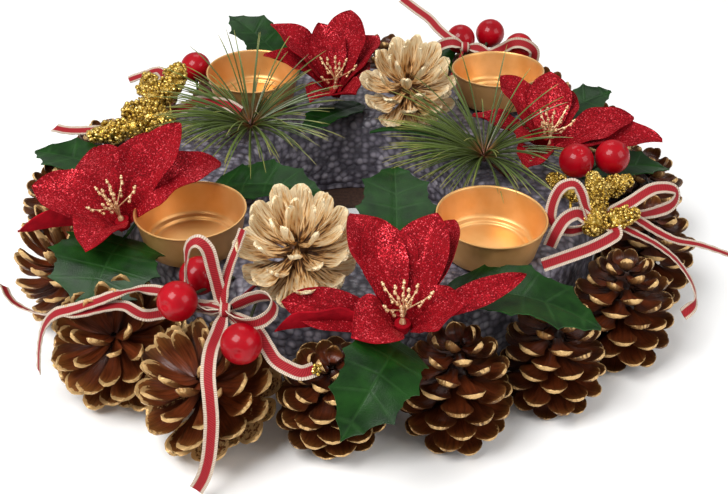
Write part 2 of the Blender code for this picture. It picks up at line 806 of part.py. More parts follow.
# Ribbon bows: the knot, the end of its tie wire on the foam, and each strand as (loop
# back to the knot or tail, way that its face looks at the start, the same at the end,
# points), in millimetres
BOWS = {
    "front": (
        (-47, -123, 55),
        (-38, -91),
        (
            (
                LOOP,
                TO_VIEWER,
                TO_VIEWER,
                ((-49, -118, 62), (-51, -116, 69), (-54, -114, 75), (-58, -112, 77), (-61, -110, 73),
                 (-63, -108, 66), (-61, -111, 60), (-55, -119, 55)),
            ),
            (
                TAIL,
                TO_VIEWER,
                (-0.6, -0.6, 0.5),
                ((-47, -118, 63), (-47, -112, 70), (-45, -103, 73), (-43, -92, 71)),
            ),
            (
                TAIL,
                TO_VIEWER,
                TO_VIEWER,
                ((-41, -127, 61), (-34, -130, 67), (-27, -132, 65), (-29, -136, 61), (-37, -135, 58)),
            ),
            (
                TAIL,
                TO_VIEWER,
                TO_VIEWER,
                ((-38, -125, 59.5), (-31, -129.5, 55), (-27, -134, 47), (-22, -138, 41), (-16, -140, 39),
                 (-12, -138, 42), (-12, -135, 47), (-18, -131, 50)),
            ),
            (
                TAIL,
                TO_VIEWER,
                (0, -1, 0.3),
                ((-50, -131, 53), (-52, -136, 46), (-53, -148, 33), (-55, -156, 19), (-57, -159, 9),
                 (-61, -161, 3.5)),
            ),
            (
                TAIL,
                (0, -0.4, 0.9),
                (0, 0.2, 1),
                ((-54, -116, 50), (-62, -110, 46.5), (-70, -112, 45), (-78, -114, 45),
                 (-86, -111, 47), (-96, -112, 46), (-106, -113, 44), (-117, -109, 40),
                 (-127, -102, 37), (-134, -97, 38), (-138, -91, 40)),
            ),
            (
                TAIL,
                (0, 0.1, 1),
                (-0.9, -0.4, 0.2),
                ((-53, -115, 51), (-61, -109.5, 47.5), (-70, -107, 50), (-80, -105, 50),
                 (-88, -106, 49), (-96, -110, 48), (-105, -114, 47), (-112, -115, 45),
                 (-117, -114, 38), (-120, -114, 28), (-121, -116, 18)),
            ),
        ),
    ),
    "right": (
        (99, -60, 57),
        (83, -52),
        (
            (
                LOOP,
                TO_VIEWER,
                TO_VIEWER,
                ((93, -60, 62), (90, -59, 68), (84, -56, 70), (79, -57, 67), (77, -60, 61),
                 (81, -62, 56), (90, -61, 55)),
            ),
            (
                LOOP,
                TO_VIEWER,
                TO_VIEWER,
                ((109, -57, 63), (120, -50, 66), (130, -46, 63), (128, -50, 58), (114, -56, 57)),
            ),
            (
                TAIL,
                (0, -0.4, 0.9),
                (0, 0.3, 1),
                ((108, -60, 59), (114, -59, 56), (121, -60, 52), (129, -62, 49), (139, -62, 47),
                 (148, -64, 45), (153, -66, 44)),
            ),
            (
                TAIL,
                (0, 0, 1),
                (0.8, 0.1, 0.5),
                ((112, -64, 53), (121, -66, 49), (129, -70, 44), (135, -76, 37), (136, -80, 31),
                 (131, -84, 28)),
            ),
            (
                TAIL,
                TO_VIEWER,
                TO_VIEWER,
                ((97, -68, 53), (89, -75, 51), (80, -82, 50), (71, -89, 50)),
            ),
        ),
    ),
    "back": (
        (52, 99, 58),
        (44, 87),
        (
            (
                TAIL,
                (0, -0.6, 0.8),
                (0, -0.6, 0.8),
                ((45, 101, 61), (39, 111, 62), (34, 120, 64), (27, 128, 66), (20, 134, 69)),
            ),
            (
                TAIL,
                TO_VIEWER,
                TO_VIEWER,
                ((59, 98, 58), (64, 96, 56), (70, 97, 58), (76, 97, 61), (82, 96, 61),
                 (87, 95, 58), (87, 96, 51)),
            ),
            (TAIL, TO_VIEWER, TO_VIEWER, ((46, 98, 61), (40, 99, 59), (37, 100, 55))),
        ),
    ),
    "left": (
        (-100, 40, 47),
        (-90, 36),
        (
            (
                TAIL,
                (0, -0.4, 1),
                (0, -0.2, 1),
                ((-97, 50, 49), (-96, 59, 54), (-100, 66, 57), (-108, 67, 54), (-115, 65, 52)),
            ),
            (
                TAIL,
                (0, -0.4, 1),
                (0, -0.2, 1),
                ((-107, 31, 47), (-115, 23, 48), (-125, 19, 49), (-135, 20, 48), (-143, 24, 47)),
            ),
            (
                TAIL,
                TO_VIEWER,
                TO_VIEWER,
                ((-86, 42, 49), (-78, 38, 55), (-70, 32, 58), (-62, 28, 59), (-56, 25, 57)),
            ),
        ),
    ),
}


def strap(path, start_face, end_face, thick, looped=False, pinch=1.0):
    """A flat ribbon along a path, whose face turns from one way of looking to another.

    A loop's face also looks away from its middle, and the ends in the knot are pinched.
    """
    bm = bmesh.new()
    rows = []
    last = len(path) - 1
    middle = sum(path, Vector()) / len(path)
    for i, co in enumerate(path):
        ahead = (path[min(i + 1, last)] - path[max(i - 1, 0)]).normalized()
        face = Vector(start_face).lerp(Vector(end_face), i / last)
        if looped:
            face = face.normalized() + (co - middle).normalized()
        half = RIBBON_WIDTH / 2
        if i == 0 or (looped and i == last):
            half *= pinch
        aside = ahead.cross(face).normalized() * half
        face = aside.cross(ahead).normalized() * thick / 2
        corners = (aside + face, face - aside, -aside - face, aside - face)
        rows.append([bm.verts.new(co + corner) for corner in corners])
    for near, far in zip(rows, rows[1:]):
        for k in range(4):
            m = (k + 1) % 4
            bm.faces.new((near[k], near[m], far[m], far[k]))
    bm.faces.new(rows[0])
    bm.faces.new(rows[-1])
    bmesh.ops.recalc_face_normals(bm, faces=bm.faces)
    bmesh.ops.triangulate(bm, faces=bm.faces)
    return bm


def laid_clear(middle, places, start_face, end_face):
    """A strand's path from the knot, with points brought forward where it would touch."""
    path = [middle] + [point(*place) for place in places]
    for k in range(1, len(path)):
        for _ in range(MOST_NUDGES):
            if too_near(path[k], RIBBON_CLEAR):
                path[k] += TO_VIEWER * NUDGE
    for _ in range(MOST_NUDGES):
        touching = set()
        for k in range(len(path) - 1):
            facing = Vector(start_face).lerp(Vector(end_face), k / (len(path) - 1))
            guard = strap(path[k : k + 2], facing, facing, RIBBON_THICK + 4 * CLEAR)
            if crosses(BVHTree.FromBMesh(guard)):
                touching |= {k, k + 1}
            guard.free()
        for k in touching - {0}:
            path[k] += TO_VIEWER * NUDGE
        if not touching - {0}:
            break
    return path


def bow(name, knot, tie_end, strands):
    """A knot on a tie wire, with the strands' ends sunk in it and laid clear of the rest."""
    middle = point(*knot)
    pieces = [
        new_object("knot", ball(middle, KNOT_SIZE, 8, 4), RIBBON_RED),
        new_object("tie", wire_to_foam(middle, *tie_end), RIBBON_RED),
    ]
    for looped, start_face, end_face, places in strands:
        path = laid_clear(middle, places, start_face, end_face)
        if looped:
            path.append(middle)
        shape = strap(path, start_face, end_face, RIBBON_THICK, looped, PINCH)
        pieces.append(new_object("strand", shape, RIBBON_RED))
    settle(fuse("bow_" + name, pieces, RIBBON_RED))


# Pine sprays: the bud's middle and the end of its stem on the foam, in millimetres
SPRAYS = {
    "left": ((-51, 22, 52), (-61, 26)),
    "right": ((55, -3, 53), (66, -6)),
}
NEEDLE_LENGTH = 46 * MM
NEEDLE_RISE = math.radians(24)
NEEDLE_ROOT = 1.3 * MM
NEEDLE_GUARD = 1.5 * NEEDLE_RADIUS + CLEAR
RISES_TRIED = 12
RISE_STEP = math.radians(4)
MOST_BEND = math.radians(60)
BUD_RADIUS = 3 * MM


def pine_spray(name, bud, foot, rng):
    """A bud with a long needle drawn out of each face that has a clear way for one."""
    middle = point(*bud)
    bm = bmesh.new()
    bmesh.ops.create_icosphere(bm, subdivisions=2, radius=BUD_RADIUS)
    bmesh.ops.rotate(bm, matrix=Matrix.Rotation(rng.uniform(0, 1), 3, "Z"), verts=bm.verts)
    bmesh.ops.translate(bm, vec=middle, verts=bm.verts)
    own = []
    for face in list(bm.faces):
        out = face.normal.copy()
        start = face.calc_center_median()
        steepness = math.asin(max(-1, min(1, out.z)))
        angle = math.atan2(out.y, out.x) + math.radians(rng.uniform(-4, 4))
        lowest = NEEDLE_RISE + math.radians(rng.uniform(-4, 4)) + 0.3 * steepness
        length = NEEDLE_LENGTH * rng.uniform(0.8, 1.1)
        sag = rng.uniform(0.03, 0.10) * length
        for attempt in range(RISES_TRIED):
            rise = lowest + RISE_STEP * attempt
            way = Vector((math.cos(angle) * math.cos(rise), math.sin(angle) * math.cos(rise), 0))
            way.z = math.sin(rise)
            if way.angle(out) > MOST_BEND:
                continue
            halfway = start + way * length / 2 + Vector((0, 0, sag))
            end = start + way * length
            begin = start.lerp(halfway, 0.12)
            guard = tube([begin, halfway, end], [NEEDLE_ROOT, NEEDLE_GUARD, NEEDLE_GUARD], 3)
            surface = BVHTree.FromBMesh(guard)
            guard.free()
            if not crosses(surface) and not any(surface.overlap(other) for other in own):
                break
        else:
            continue
        own.append(surface)
        middle_ring = [
            bm.verts.new(halfway + (vert.co - start).normalized() * NEEDLE_RADIUS)
            for vert in face.verts
        ]
        point_end = bm.verts.new(end)
        corners = list(face.verts)
        bm.faces.remove(face)
        for k in range(3):
            m = (k + 1) % 3
            bm.faces.new((corners[k], corners[m], middle_ring[m], middle_ring[k]))
            bm.faces.new((middle_ring[k], middle_ring[m], point_end))
    bmesh.ops.triangulate(bm, faces=bm.faces)
    needles = new_object("needles", bm, NEEDLE_GREEN)
    stem = new_object("stem", wire_to_foam(middle, *foot), NEEDLE_GREEN)
    settle(fuse("pine_" + name, [needles, stem], NEEDLE_GREEN))


def middle_of_all():
    """Move the whole wreath so that the middle of its outline stands at x = y = 0."""
    bpy.context.view_layer.update()
    nodes = [made for made in bpy.context.scene.objects if made.type == "MESH"]
    corners = [made.matrix_world @ v.co for made in nodes for v in made.data.vertices]
    shift = Vector((0, 0, 0))
    for axis in (0, 1):
        values = [co[axis] for co in corners]
        shift[axis] = (min(values) + max(values)) / 2
    for made in nodes:
        made.matrix_world = Matrix.Translation(-shift) @ made.matrix_world


def build():
    rng = random.Random(24)
    base_ring()
    foam_ring()
    for name, placing in CUPS.items():
        candle_cup(name, *placing)
    for i, placing in enumerate(BROWN_CONES, 1):
        brown_cone(f"cone_{i:02d}", *placing, rng)
    for name, placing in GOLD_CONES.items():
        gold_cone(name, *placing, rng)
    for name, parts in BLOOMS.items():
        bloom(name, parts["heart"], parts["axis"], parts["stem"], parts["petals"])
        stamens(name, parts["heart"], parts["axis"], rng)
    for name, (foot, centres) in BERRIES.items():
        berry_pick(name, foot, centres)
    for name, (foot, lobes) in GLITTER_PICKS.items():
        glitter_pick(name, foot, lobes)
    for name, shape in LEAVES.items():
        leaf(name, *shape)
    for name, placing in BOWS.items():
        bow(name, *placing)
    for name, placing in SPRAYS.items():
        pine_spray(name, *placing, rng)
    middle_of_all()


build()
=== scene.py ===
import math
import random

import bmesh
import bpy
from mathutils import Matrix, Vector, noise


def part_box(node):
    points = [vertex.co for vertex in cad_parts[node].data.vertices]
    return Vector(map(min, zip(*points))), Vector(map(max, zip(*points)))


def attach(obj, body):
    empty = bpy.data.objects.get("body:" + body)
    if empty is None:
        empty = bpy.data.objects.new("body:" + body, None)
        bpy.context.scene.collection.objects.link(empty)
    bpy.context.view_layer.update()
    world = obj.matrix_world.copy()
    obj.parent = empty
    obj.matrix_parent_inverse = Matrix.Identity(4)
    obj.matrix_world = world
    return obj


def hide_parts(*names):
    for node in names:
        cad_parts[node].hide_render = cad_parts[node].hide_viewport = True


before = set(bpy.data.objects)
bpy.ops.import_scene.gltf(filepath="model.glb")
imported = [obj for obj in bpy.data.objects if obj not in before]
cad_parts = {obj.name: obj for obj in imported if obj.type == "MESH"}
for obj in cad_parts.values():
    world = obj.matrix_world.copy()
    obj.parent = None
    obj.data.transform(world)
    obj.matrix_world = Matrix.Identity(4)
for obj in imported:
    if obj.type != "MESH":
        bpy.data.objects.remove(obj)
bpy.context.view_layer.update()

# ---------------------------------------------------------------------------------------
# Base ring: a flat ring stamped out of dark brown fibreboard, 70 mm wide and 3 mm thick.
# The foam is glued on it, and its underside is what stands on the table.


def linear(code):
    """An sRGB hex colour as the linear colour that a socket takes."""
    shares = [int(code[k : k + 2], 16) / 255 for k in (0, 2, 4)]
    shares = [c / 12.92 if c <= 0.04045 else ((c + 0.055) / 1.055) ** 2.4 for c in shares]
    return (*shares, 1.0)


def connect(tree, node, inputs):
    """Set or link a node's inputs. A whole node given for one means its first output."""
    for socket, value in inputs.items():
        if isinstance(value, bpy.types.Node):
            value = next(output for output in value.outputs if output.enabled)
        if isinstance(value, bpy.types.NodeSocket):
            tree.links.new(value, node.inputs[socket])
        else:
            node.inputs[socket].default_value = value


def add(tree, kind, inputs=None, stops=(), **settings):
    """Add a node with its settings, its inputs set or linked, and its colour stops."""
    node = tree.nodes.new("ShaderNode" + kind)
    for name, value in settings.items():
        setattr(node, name, value)
    connect(tree, node, inputs or {})
    for k, (place, code) in enumerate(stops):
        ramp = node.color_ramp.elements
        stop = ramp[k] if k < 2 else ramp.new(place)
        stop.position = place
        stop.color = linear(code)
    return node


def new_material(name, **sockets):
    """A material and its shader, with what is the same all over set on the shader."""
    made = bpy.data.materials.new(name)
    made.use_nodes = True
    shader = made.node_tree.nodes["Principled BSDF"]
    for socket, value in sockets.items():
        shader.inputs[socket.replace("_", " ")].default_value = value
    return made, made.node_tree, shader


def new_piece(name, points, faces, *finishes, traits=None, skins=None):
    """A smooth mesh; a trait is a value or a vector for each point that materials read."""
    mesh = bpy.data.meshes.new(name)
    mesh.from_pydata(points, [], faces)
    for finish in finishes:
        mesh.materials.append(finish)
    if skins:
        mesh.polygons.foreach_set("material_index", skins)
    for trait, values in (traits or {}).items():
        if isinstance(values[0], float):
            layer = mesh.attributes.new(trait, "FLOAT", "POINT")
            layer.data.foreach_set("value", values)
        else:
            layer = mesh.attributes.new(trait, "FLOAT_VECTOR", "POINT")
            layer.data.foreach_set("vector", [part for value in values for part in value])
    bm = bmesh.new()
    bm.from_mesh(mesh)
    bmesh.ops.recalc_face_normals(bm, faces=bm.faces)
    bm.to_mesh(mesh)
    bm.free()
    mesh.shade_smooth()
    mesh.set_sharp_from_angle(angle=math.radians(50))
    made = bpy.data.objects.new(name, mesh)
    bpy.context.scene.collection.objects.link(made)
    return made


ring_low, ring_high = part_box("foam_ring")
RING_MIDDLE = Vector(((ring_low.x + ring_high.x) / 2, (ring_low.y + ring_high.y) / 2, 0))


def at(x, y, z):
    """A place in millimetres from the middle of the rings and up from the table."""
    return RING_MIDDLE + Vector((x, y, z)) / 1000


def turned(profile, sides, is_ring):
    """Points and faces of a (radius, height) profile in millimetres turned about Z.

    A ring's profile is a loop. Any other one starts and ends on the axis.
    """
    points, faces, rows = [], [], []
    for radius, height in profile:
        rows.append([len(points) + k for k in range(sides if radius else 1)])
        for k in range(len(rows[-1])):
            angle = math.tau * k / sides
            across, along = math.cos(angle) * radius, math.sin(angle) * radius
            points.append(Vector((across, along, height)) / 1000)
    pairs = list(zip(rows, rows[1:]))
    if is_ring:
        pairs.append((rows[-1], rows[0]))
    for low, high in pairs:
        for k in range(sides):
            m = (k + 1) % sides
            if len(low) == 1:
                faces.append((low[0], high[m], high[k]))
            elif len(high) == 1:
                faces.append((low[k], low[m], high[0]))
            else:
                faces.append((low[k], low[m], high[m], high[k]))
    return points, faces


# Fibreboard, pressed from wood pulp and dyed through: a dull, slightly mottled brown
board, tree, shader = new_material("fibreboard_pressed", Roughness=0.82, IOR=1.5)
place = add(tree, "TexCoord").outputs["Object"]
# Pulp specks are about 1.5 mm, and the fibre relief is drawn at 0.8 mm
specks = add(tree, "TexNoise", {"Vector": place, "Scale": 1000 / 1.5, "Detail": 4.0})
brown = add(tree, "ValToRGB", {"Fac": specks}, stops=((0.3, "2a1810"), (0.7, "4b2f20")))
fibres = add(tree, "TexNoise", {"Vector": place, "Scale": 1000 / 0.8, "Detail": 2.0})
relief = add(tree, "Bump", {"Height": fibres, "Strength": 0.4, "Distance": 0.0003})
connect(tree, shader, {"Base Color": brown, "Normal": relief})

# Its section, with the edges broken where the stamp went through
BOARD_SECTION = (
    (34.4, 0), (103.5, 0), (104, 0.5), (104, 2.6), (103.6, 3), (34.4, 3), (34, 2.6), (34, 0.4),
)
points, faces = turned(BOARD_SECTION, 144, True)
base_board = new_piece("base_board", [RING_MIDDLE + p for p in points], faces, board)
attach(base_board, "root")
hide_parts("base_ring")

# ---------------------------------------------------------------------------------------
# Foam ring: expanded polystyrene moulded from beads of about 3 mm and sprayed a dark
# purplish grey. It is glued to the base ring, and everything else is glued or stuck into it.
BEAD = 3.4
FOAM_INNER, FOAM_OUTER, FOAM_TOP = 48, 108, 44
# The walls start just above the board and end where the rounded shoulders begin
FOAM_FOOT, FOAM_ROUND = 3.4, 9
FOAM_SHOULDER = FOAM_TOP - FOAM_ROUND
WALL = FOAM_SHOULDER - FOAM_FOOT
FLAT = FOAM_OUTER - FOAM_INNER - 2 * FOAM_ROUND


def shoulder(steps):
    """How far out and up the rounding goes from its middle, from the side to the top."""
    angles = [math.pi / 2 * k / steps for k in range(steps)]
    return [(math.cos(a) * FOAM_ROUND, math.sin(a) * FOAM_ROUND) for a in angles]


foam_profile = [(FOAM_INNER, FOAM_FOOT + WALL * k / 24) for k in range(24)]
foam_profile += [(FOAM_INNER + FOAM_ROUND - out, FOAM_SHOULDER + up) for out, up in shoulder(9)]
foam_profile += [(FOAM_INNER + FOAM_ROUND + FLAT * k / 26, FOAM_TOP) for k in range(26)]
foam_profile += [(FOAM_OUTER - FOAM_ROUND + out, FOAM_SHOULDER + up) for up, out in shoulder(8)]
foam_profile += [(FOAM_OUTER, FOAM_SHOULDER - WALL * k / 9) for k in range(10)]
points, faces = turned(foam_profile, 240, True)
for k, co in enumerate(points):
    # The mould left the faces a little uneven, always inside the ring's own shape
    bearing = Vector((co.x, co.y, 0)).normalized()
    inward = bearing * (FOAM_INNER + FOAM_OUTER) / 2000 + Vector((0, 0, 0.024)) - co
    dent = 0.25 + 0.25 * noise.noise(co * 90) + 0.12 * noise.noise(co * 400)
    points[k] = co + inward.normalized() * dent / 1000

# Expanded polystyrene, sprayed dark: round beads, each with its own tone and a dim soft
# gloss, and dark seams between them; painted shade darkens each bead from its crown out to its
# seam
foam, tree, shader = new_material("polystyrene_beads_sprayed", Roughness=0.42, IOR=1.55)
place = add(tree, "TexCoord").outputs["Object"]
beads = add(tree, "TexVoronoi", {"Vector": place, "Scale": 1000 / BEAD, "Randomness": 0.7})
parts = add(tree, "SeparateColor", {"Color": beads.outputs["Color"]})
bead_colour = add(
    tree, "ValToRGB", {"Fac": parts.outputs["Red"]},
    stops=((0.0, "787380"), (0.6, "8f8994"), (1.0, "aaa4ae")),
)
# Painted shade: each bead's colour darkens from its crown to the seam round it, as light falls on
# a dome
crown_to_seam_shade = add(
    tree, "MapRange", {"Value": beads.outputs["Distance"], "From Min": 0.2, "From Max": 0.7},
    interpolation_type="SMOOTHSTEP",
)
dome = add(
    tree, "Math", {0: beads.outputs["Distance"], 1: beads.outputs["Distance"]},
    operation="MULTIPLY",
)
skin = add(
    tree, "Mix", {"Factor": crown_to_seam_shade, "A": bead_colour, "B": linear("4c4852")}, data_type="RGBA",
)
relief = add(tree, "Bump", {"Height": dome, "Strength": 0.8, "Distance": -0.0016})
connect(tree, shader, {"Base Color": skin, "Normal": relief})
bead_foam = new_piece("bead_foam_ring", [RING_MIDDLE + p for p in points], faces, foam)
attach(bead_foam, "root")
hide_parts("foam_ring")

# ---------------------------------------------------------------------------------------
# Candle cups: four shallow dishes pressed from thin steel sheet and plated brass-gold,
# with a rolled rim and a shallow step in the floor. Each is glued flat on the foam.

# Middle of each cup, and its lean about X and about Y in degrees
CUPS = {
    "front_left": (-66.6, -65.3, -1.0, -1.8),
    "front_right": (53.1, -64.2, 1.3, 1.0),
    "back_left": (-53.1, 61.7, 1.5, -0.7),
    "back_right": (66.6, 67.7, -3.2, -1.1),
}
# From the middle of the underside over the rim to the middle of the floor
CUP_PROFILE = (
    (0, 0), (17.8, 0), (18.6, 0.15), (19.1, 0.7), (19.8, 4), (20.7, 8), (21.5, 12), (21.9, 14.4),
    (22.1, 14.9), (22.45, 15.1), (22.6, 15.4), (22.45, 15.75), (22.1, 15.85), (21.75, 15.7),
    (21.55, 15.3), (21.35, 14.4), (20.9, 12), (20.1, 8), (19.2, 4), (18.6, 2.5), (18.1, 2.25),
    (16.9, 2.2), (16.5, 2.0), (16.3, 1.2), (15.9, 0.75), (15, 0.7), (0, 0.7),
)

# Plated steel sheet, pressed and left satin: soft streaky mirror with a warm cast
plate, tree, shader = new_material("plated_steel_pressed", Metallic=0.7)
place = add(tree, "TexCoord").outputs["Object"]
# Handling haze in patches of about 12 mm, and drawing marks of 0.5 mm round the wall
haze = add(tree, "TexNoise", {"Vector": place, "Scale": 1000 / 12, "Detail": 3.0})
gloss = add(
    tree, "MapRange",
    {"Value": haze, "From Min": 0.3, "From Max": 0.7, "To Min": 0.36, "To Max": 0.48},
)
gold = add(tree, "ValToRGB", {"Fac": haze}, stops=((0.35, "d9a35f"), (0.65, "e4b274")))
upright = add(tree, "Mapping", {"Vector": place, "Scale": (60.0, 60.0, 2000.0)})
marks = add(tree, "TexNoise", {"Vector": upright, "Scale": 1.0})
relief = add(tree, "Bump", {"Height": marks, "Strength": 0.08, "Distance": 0.0002})
connect(tree, shader, {"Base Color": gold, "Roughness": gloss, "Normal": relief})

# Radius that a cup stands on, and the height of the glue's top
CUP_FOOT, ON_FOAM = 19, 44.3


def spun(degrees, axis):
    """A turn about one of the three axes."""
    return Matrix.Rotation(math.radians(degrees), 4, axis)


for corner, (x, y, lean_x, lean_y) in CUPS.items():
    lift = CUP_FOOT * math.hypot(math.radians(lean_x), math.radians(lean_y))
    stand = Matrix.Translation(at(x, y, ON_FOAM + lift)) @ (spun(lean_y, "Y") @ spun(lean_x, "X"))
    points, faces = turned(CUP_PROFILE, 96, False)
    cup = new_piece("candle_cup_" + corner, [stand @ p for p in points], faces, plate)
    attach(cup, "root")
    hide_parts("cup_" + corner)

# ---------------------------------------------------------------------------------------
# Brown pine cones: eighteen natural open cones, each of more than fifty woody scales
# spiralling round a core, with the lips brushed with gold paint. They are glued upright
# round the foam.

# Foot of each cone, its bearing round the ring, lean outwards and lean aside, width,
# height, turn about itself and how much gold its lips took
BROWN_CONES = {
    "cone_01": (127.6, 12.3, 1.0, 5.5, 6, 0, 43, 47, 252, 0.5),
    "cone_02": (117.4, 54.7, 0.2, 25, 5, 0, 43, 46, 174, 0.5),
    "cone_03": (91.0, 91.0, 0.6, 45, 6, 0, 43, 47, 264, 0.5),
    "cone_04": (54.7, 117.3, -0.6, 65, 4, 0, 43, 46, 139, 0.5),
    "cone_05": (11.3, 128.8, 1.1, 85, 6, 0, 43, 46, 182, 0.5),
    "cone_06": (-33.5, 124.9, 0.1, 105, 5, 0, 43, 47, 128, 0.5),
    "cone_07": (-71.5, 102.0, 0.6, 125, 0, 0, 40, 40, 291, 0.5),
    "cone_08": (-102.0, 71.5, 0.3, 145, 0, 0, 40, 40, 160, 0.5),
    "cone_09": (-121.0, 34.7, 0.5, 164, 3, 0, 42, 43, 108, 0.6),
    "cone_10": (-128.1, -9.0, 0.5, 184, 8, 0, 43, 47, 189, 0.8),
    "cone_11": (-115.9, -56.5, 2.0, 206, 10, 0, 46, 48, 351, 1.1),
    "cone_12": (-89.6, -94.4, 10.6, 226.5, 30, -22, 51, 40, 310, 1.1),
    "cone_13": (-48.6, -126.7, 8.4, 249, 22, 12, 53, 40, 38, 1.4),
    "cone_14": (-7.7, -126.5, 3.4, 266.5, 14, 0, 43, 42, 29, 0.9),
    "cone_15": (38.0, -124.4, -0.8, 287, 0, 0, 43.5, 49, 174, 0.75),
    "cone_16": (77.5, -104.7, -0.6, 305, -2, 0, 41, 48.5, 313, 0.75),
    "cone_17": (109.5, -75.0, -0.5, 324.5, -3, 0, 43, 49, 17, 0.75),
    "cone_18": (124.5, -33.4, 0.0, 345, 3, 0, 43, 49, 236, 0.75),
}
# A cone's outline from its foot up, as height and radius of the lips, and the height of
# their roots on the core, all as shares of the cone's height and radius
BROWN_FORM = (
    (0.03, 0.66, 0.15), (0.10, 0.86, 0.20), (0.27, 1.01, 0.32), (0.50, 1.00, 0.48),
    (0.76, 0.84, 0.68), (0.93, 0.54, 0.82), (1.03, 0.22, 0.90),
)
# A scale from root to rim: way along, share of its full width, thickness and depth of its
# dish in millimetres. Past ROUND_FROM its end is a half ellipse.
ROUND_FROM = 0.60
SCALE_FORM = (
    (0.00, 0.36, 1.7, 0.0), (0.20, 0.44, 1.2, 0.1), (0.38, 0.62, 0.9, 0.5), (0.50, 0.84, 0.9, 1.0),
) + tuple(
    (
        ROUND_FROM + (1 - ROUND_FROM) * math.sin(math.radians(turn)),
        math.cos(math.radians(turn)),
        thick,
        dish,
    )
    for turn, thick, dish in (
        (0, 1.0, 1.35), (22, 1.1, 1.5), (40, 1.3, 1.5),
        (56, 1.4, 1.5), (70, 1.2, 1.5), (81, 0.8, 1.5),
    )
)
# The three cones at the front left dried wider open: longer, squarer scales, roots far apart
WIDE_OPEN = ("cone_11", "cone_12", "cone_13")
OPEN_FORM = (
    (0.03, 0.66, 0.15), (0.10, 0.88, 0.20), (0.27, 1.02, 0.30), (0.50, 1.02, 0.42),
    (0.76, 0.92, 0.54), (0.98, 0.66, 0.60), (1.14, 0.32, 0.66),
)
OPEN_SCALE = (
    (0.00, 0.40, 1.6, 0.0), (0.18, 0.46, 1.2, 0.1), (0.34, 0.60, 1.0, 0.4), (0.48, 0.78, 1.0, 0.8),
    (0.60, 0.92, 1.0, 1.0), (0.72, 1.00, 1.1, 1.1), (0.83, 0.97, 1.2, 1.1), (0.92, 0.85, 1.3, 1.1),
    (0.98, 0.60, 1.2, 1.1), (1.00, 0.32, 0.9, 1.1),
)
# Outline, scale, number of scales, ripple and how much paler in tone the usual and the open ones
# are
BROWN_GROWTH = (BROWN_FORM, SCALE_FORM, 58, 0.05, 0.0)
OPEN_GROWTH = (OPEN_FORM, OPEN_SCALE, 54, 0.18, 0.9)
# Half the width of a scale, as a share of the cone's width
BROWN_SCALE_WIDTH, OPEN_SCALE_WIDTH = 6.0 / 43, 4.7 / 43
CONE_CORE = 5.5
# Places across a scale's upper face and its lower face, as shares of its half width
ABOVE = (-1, -0.7, -0.35, 0, 0.35, 0.7, 1)
BELOW = (0.68, 0.34, 0, -0.34, -0.68)
GOLDEN_ANGLE = math.radians(137.508)


def through(table, x, column=1):
    """A value read off a table's first column by a smooth curve through its rows."""
    if x <= table[0][0]:
        return table[0][column]
    if x >= table[-1][0]:
        return table[-1][column]
    k = max(i for i in range(len(table) - 1) if table[i][0] <= x)
    near, far = table[k], table[k + 1]
    before, after = table[max(k - 1, 0)], table[min(k + 2, len(table) - 1)]
    span = far[0] - near[0]
    start = (far[column] - before[column]) / (far[0] - before[0]) * span
    end = (after[column] - near[column]) / (after[0] - near[0]) * span
    t = (x - near[0]) / span
    return (
        near[column] * (2 * t**3 - 3 * t**2 + 1)
        + start * (t**3 - 2 * t**2 + t)
        + far[column] * (3 * t**2 - 2 * t**3)
        + end * (t**3 - t**2)
    )


def rise(x, low, high):
    """A soft step from 0 to 1."""
    t = max(0.0, min(1.0, (x - low) / (high - low)))
    return t * t * (3 - 2 * t)


def loft(faces, first, rings, sides):
    """Faces between rings of points that follow each other, and a cap on each end."""
    for i in range(rings - 1):
        for k in range(sides):
            m = (k + 1) % sides
            a = first + sides * i
            faces.append((a + k, a + m, a + sides + m, a + sides + k))
    for end in (first, first + sides * (rings - 1)):
        faces.append(tuple(end + k for k in range(sides)))


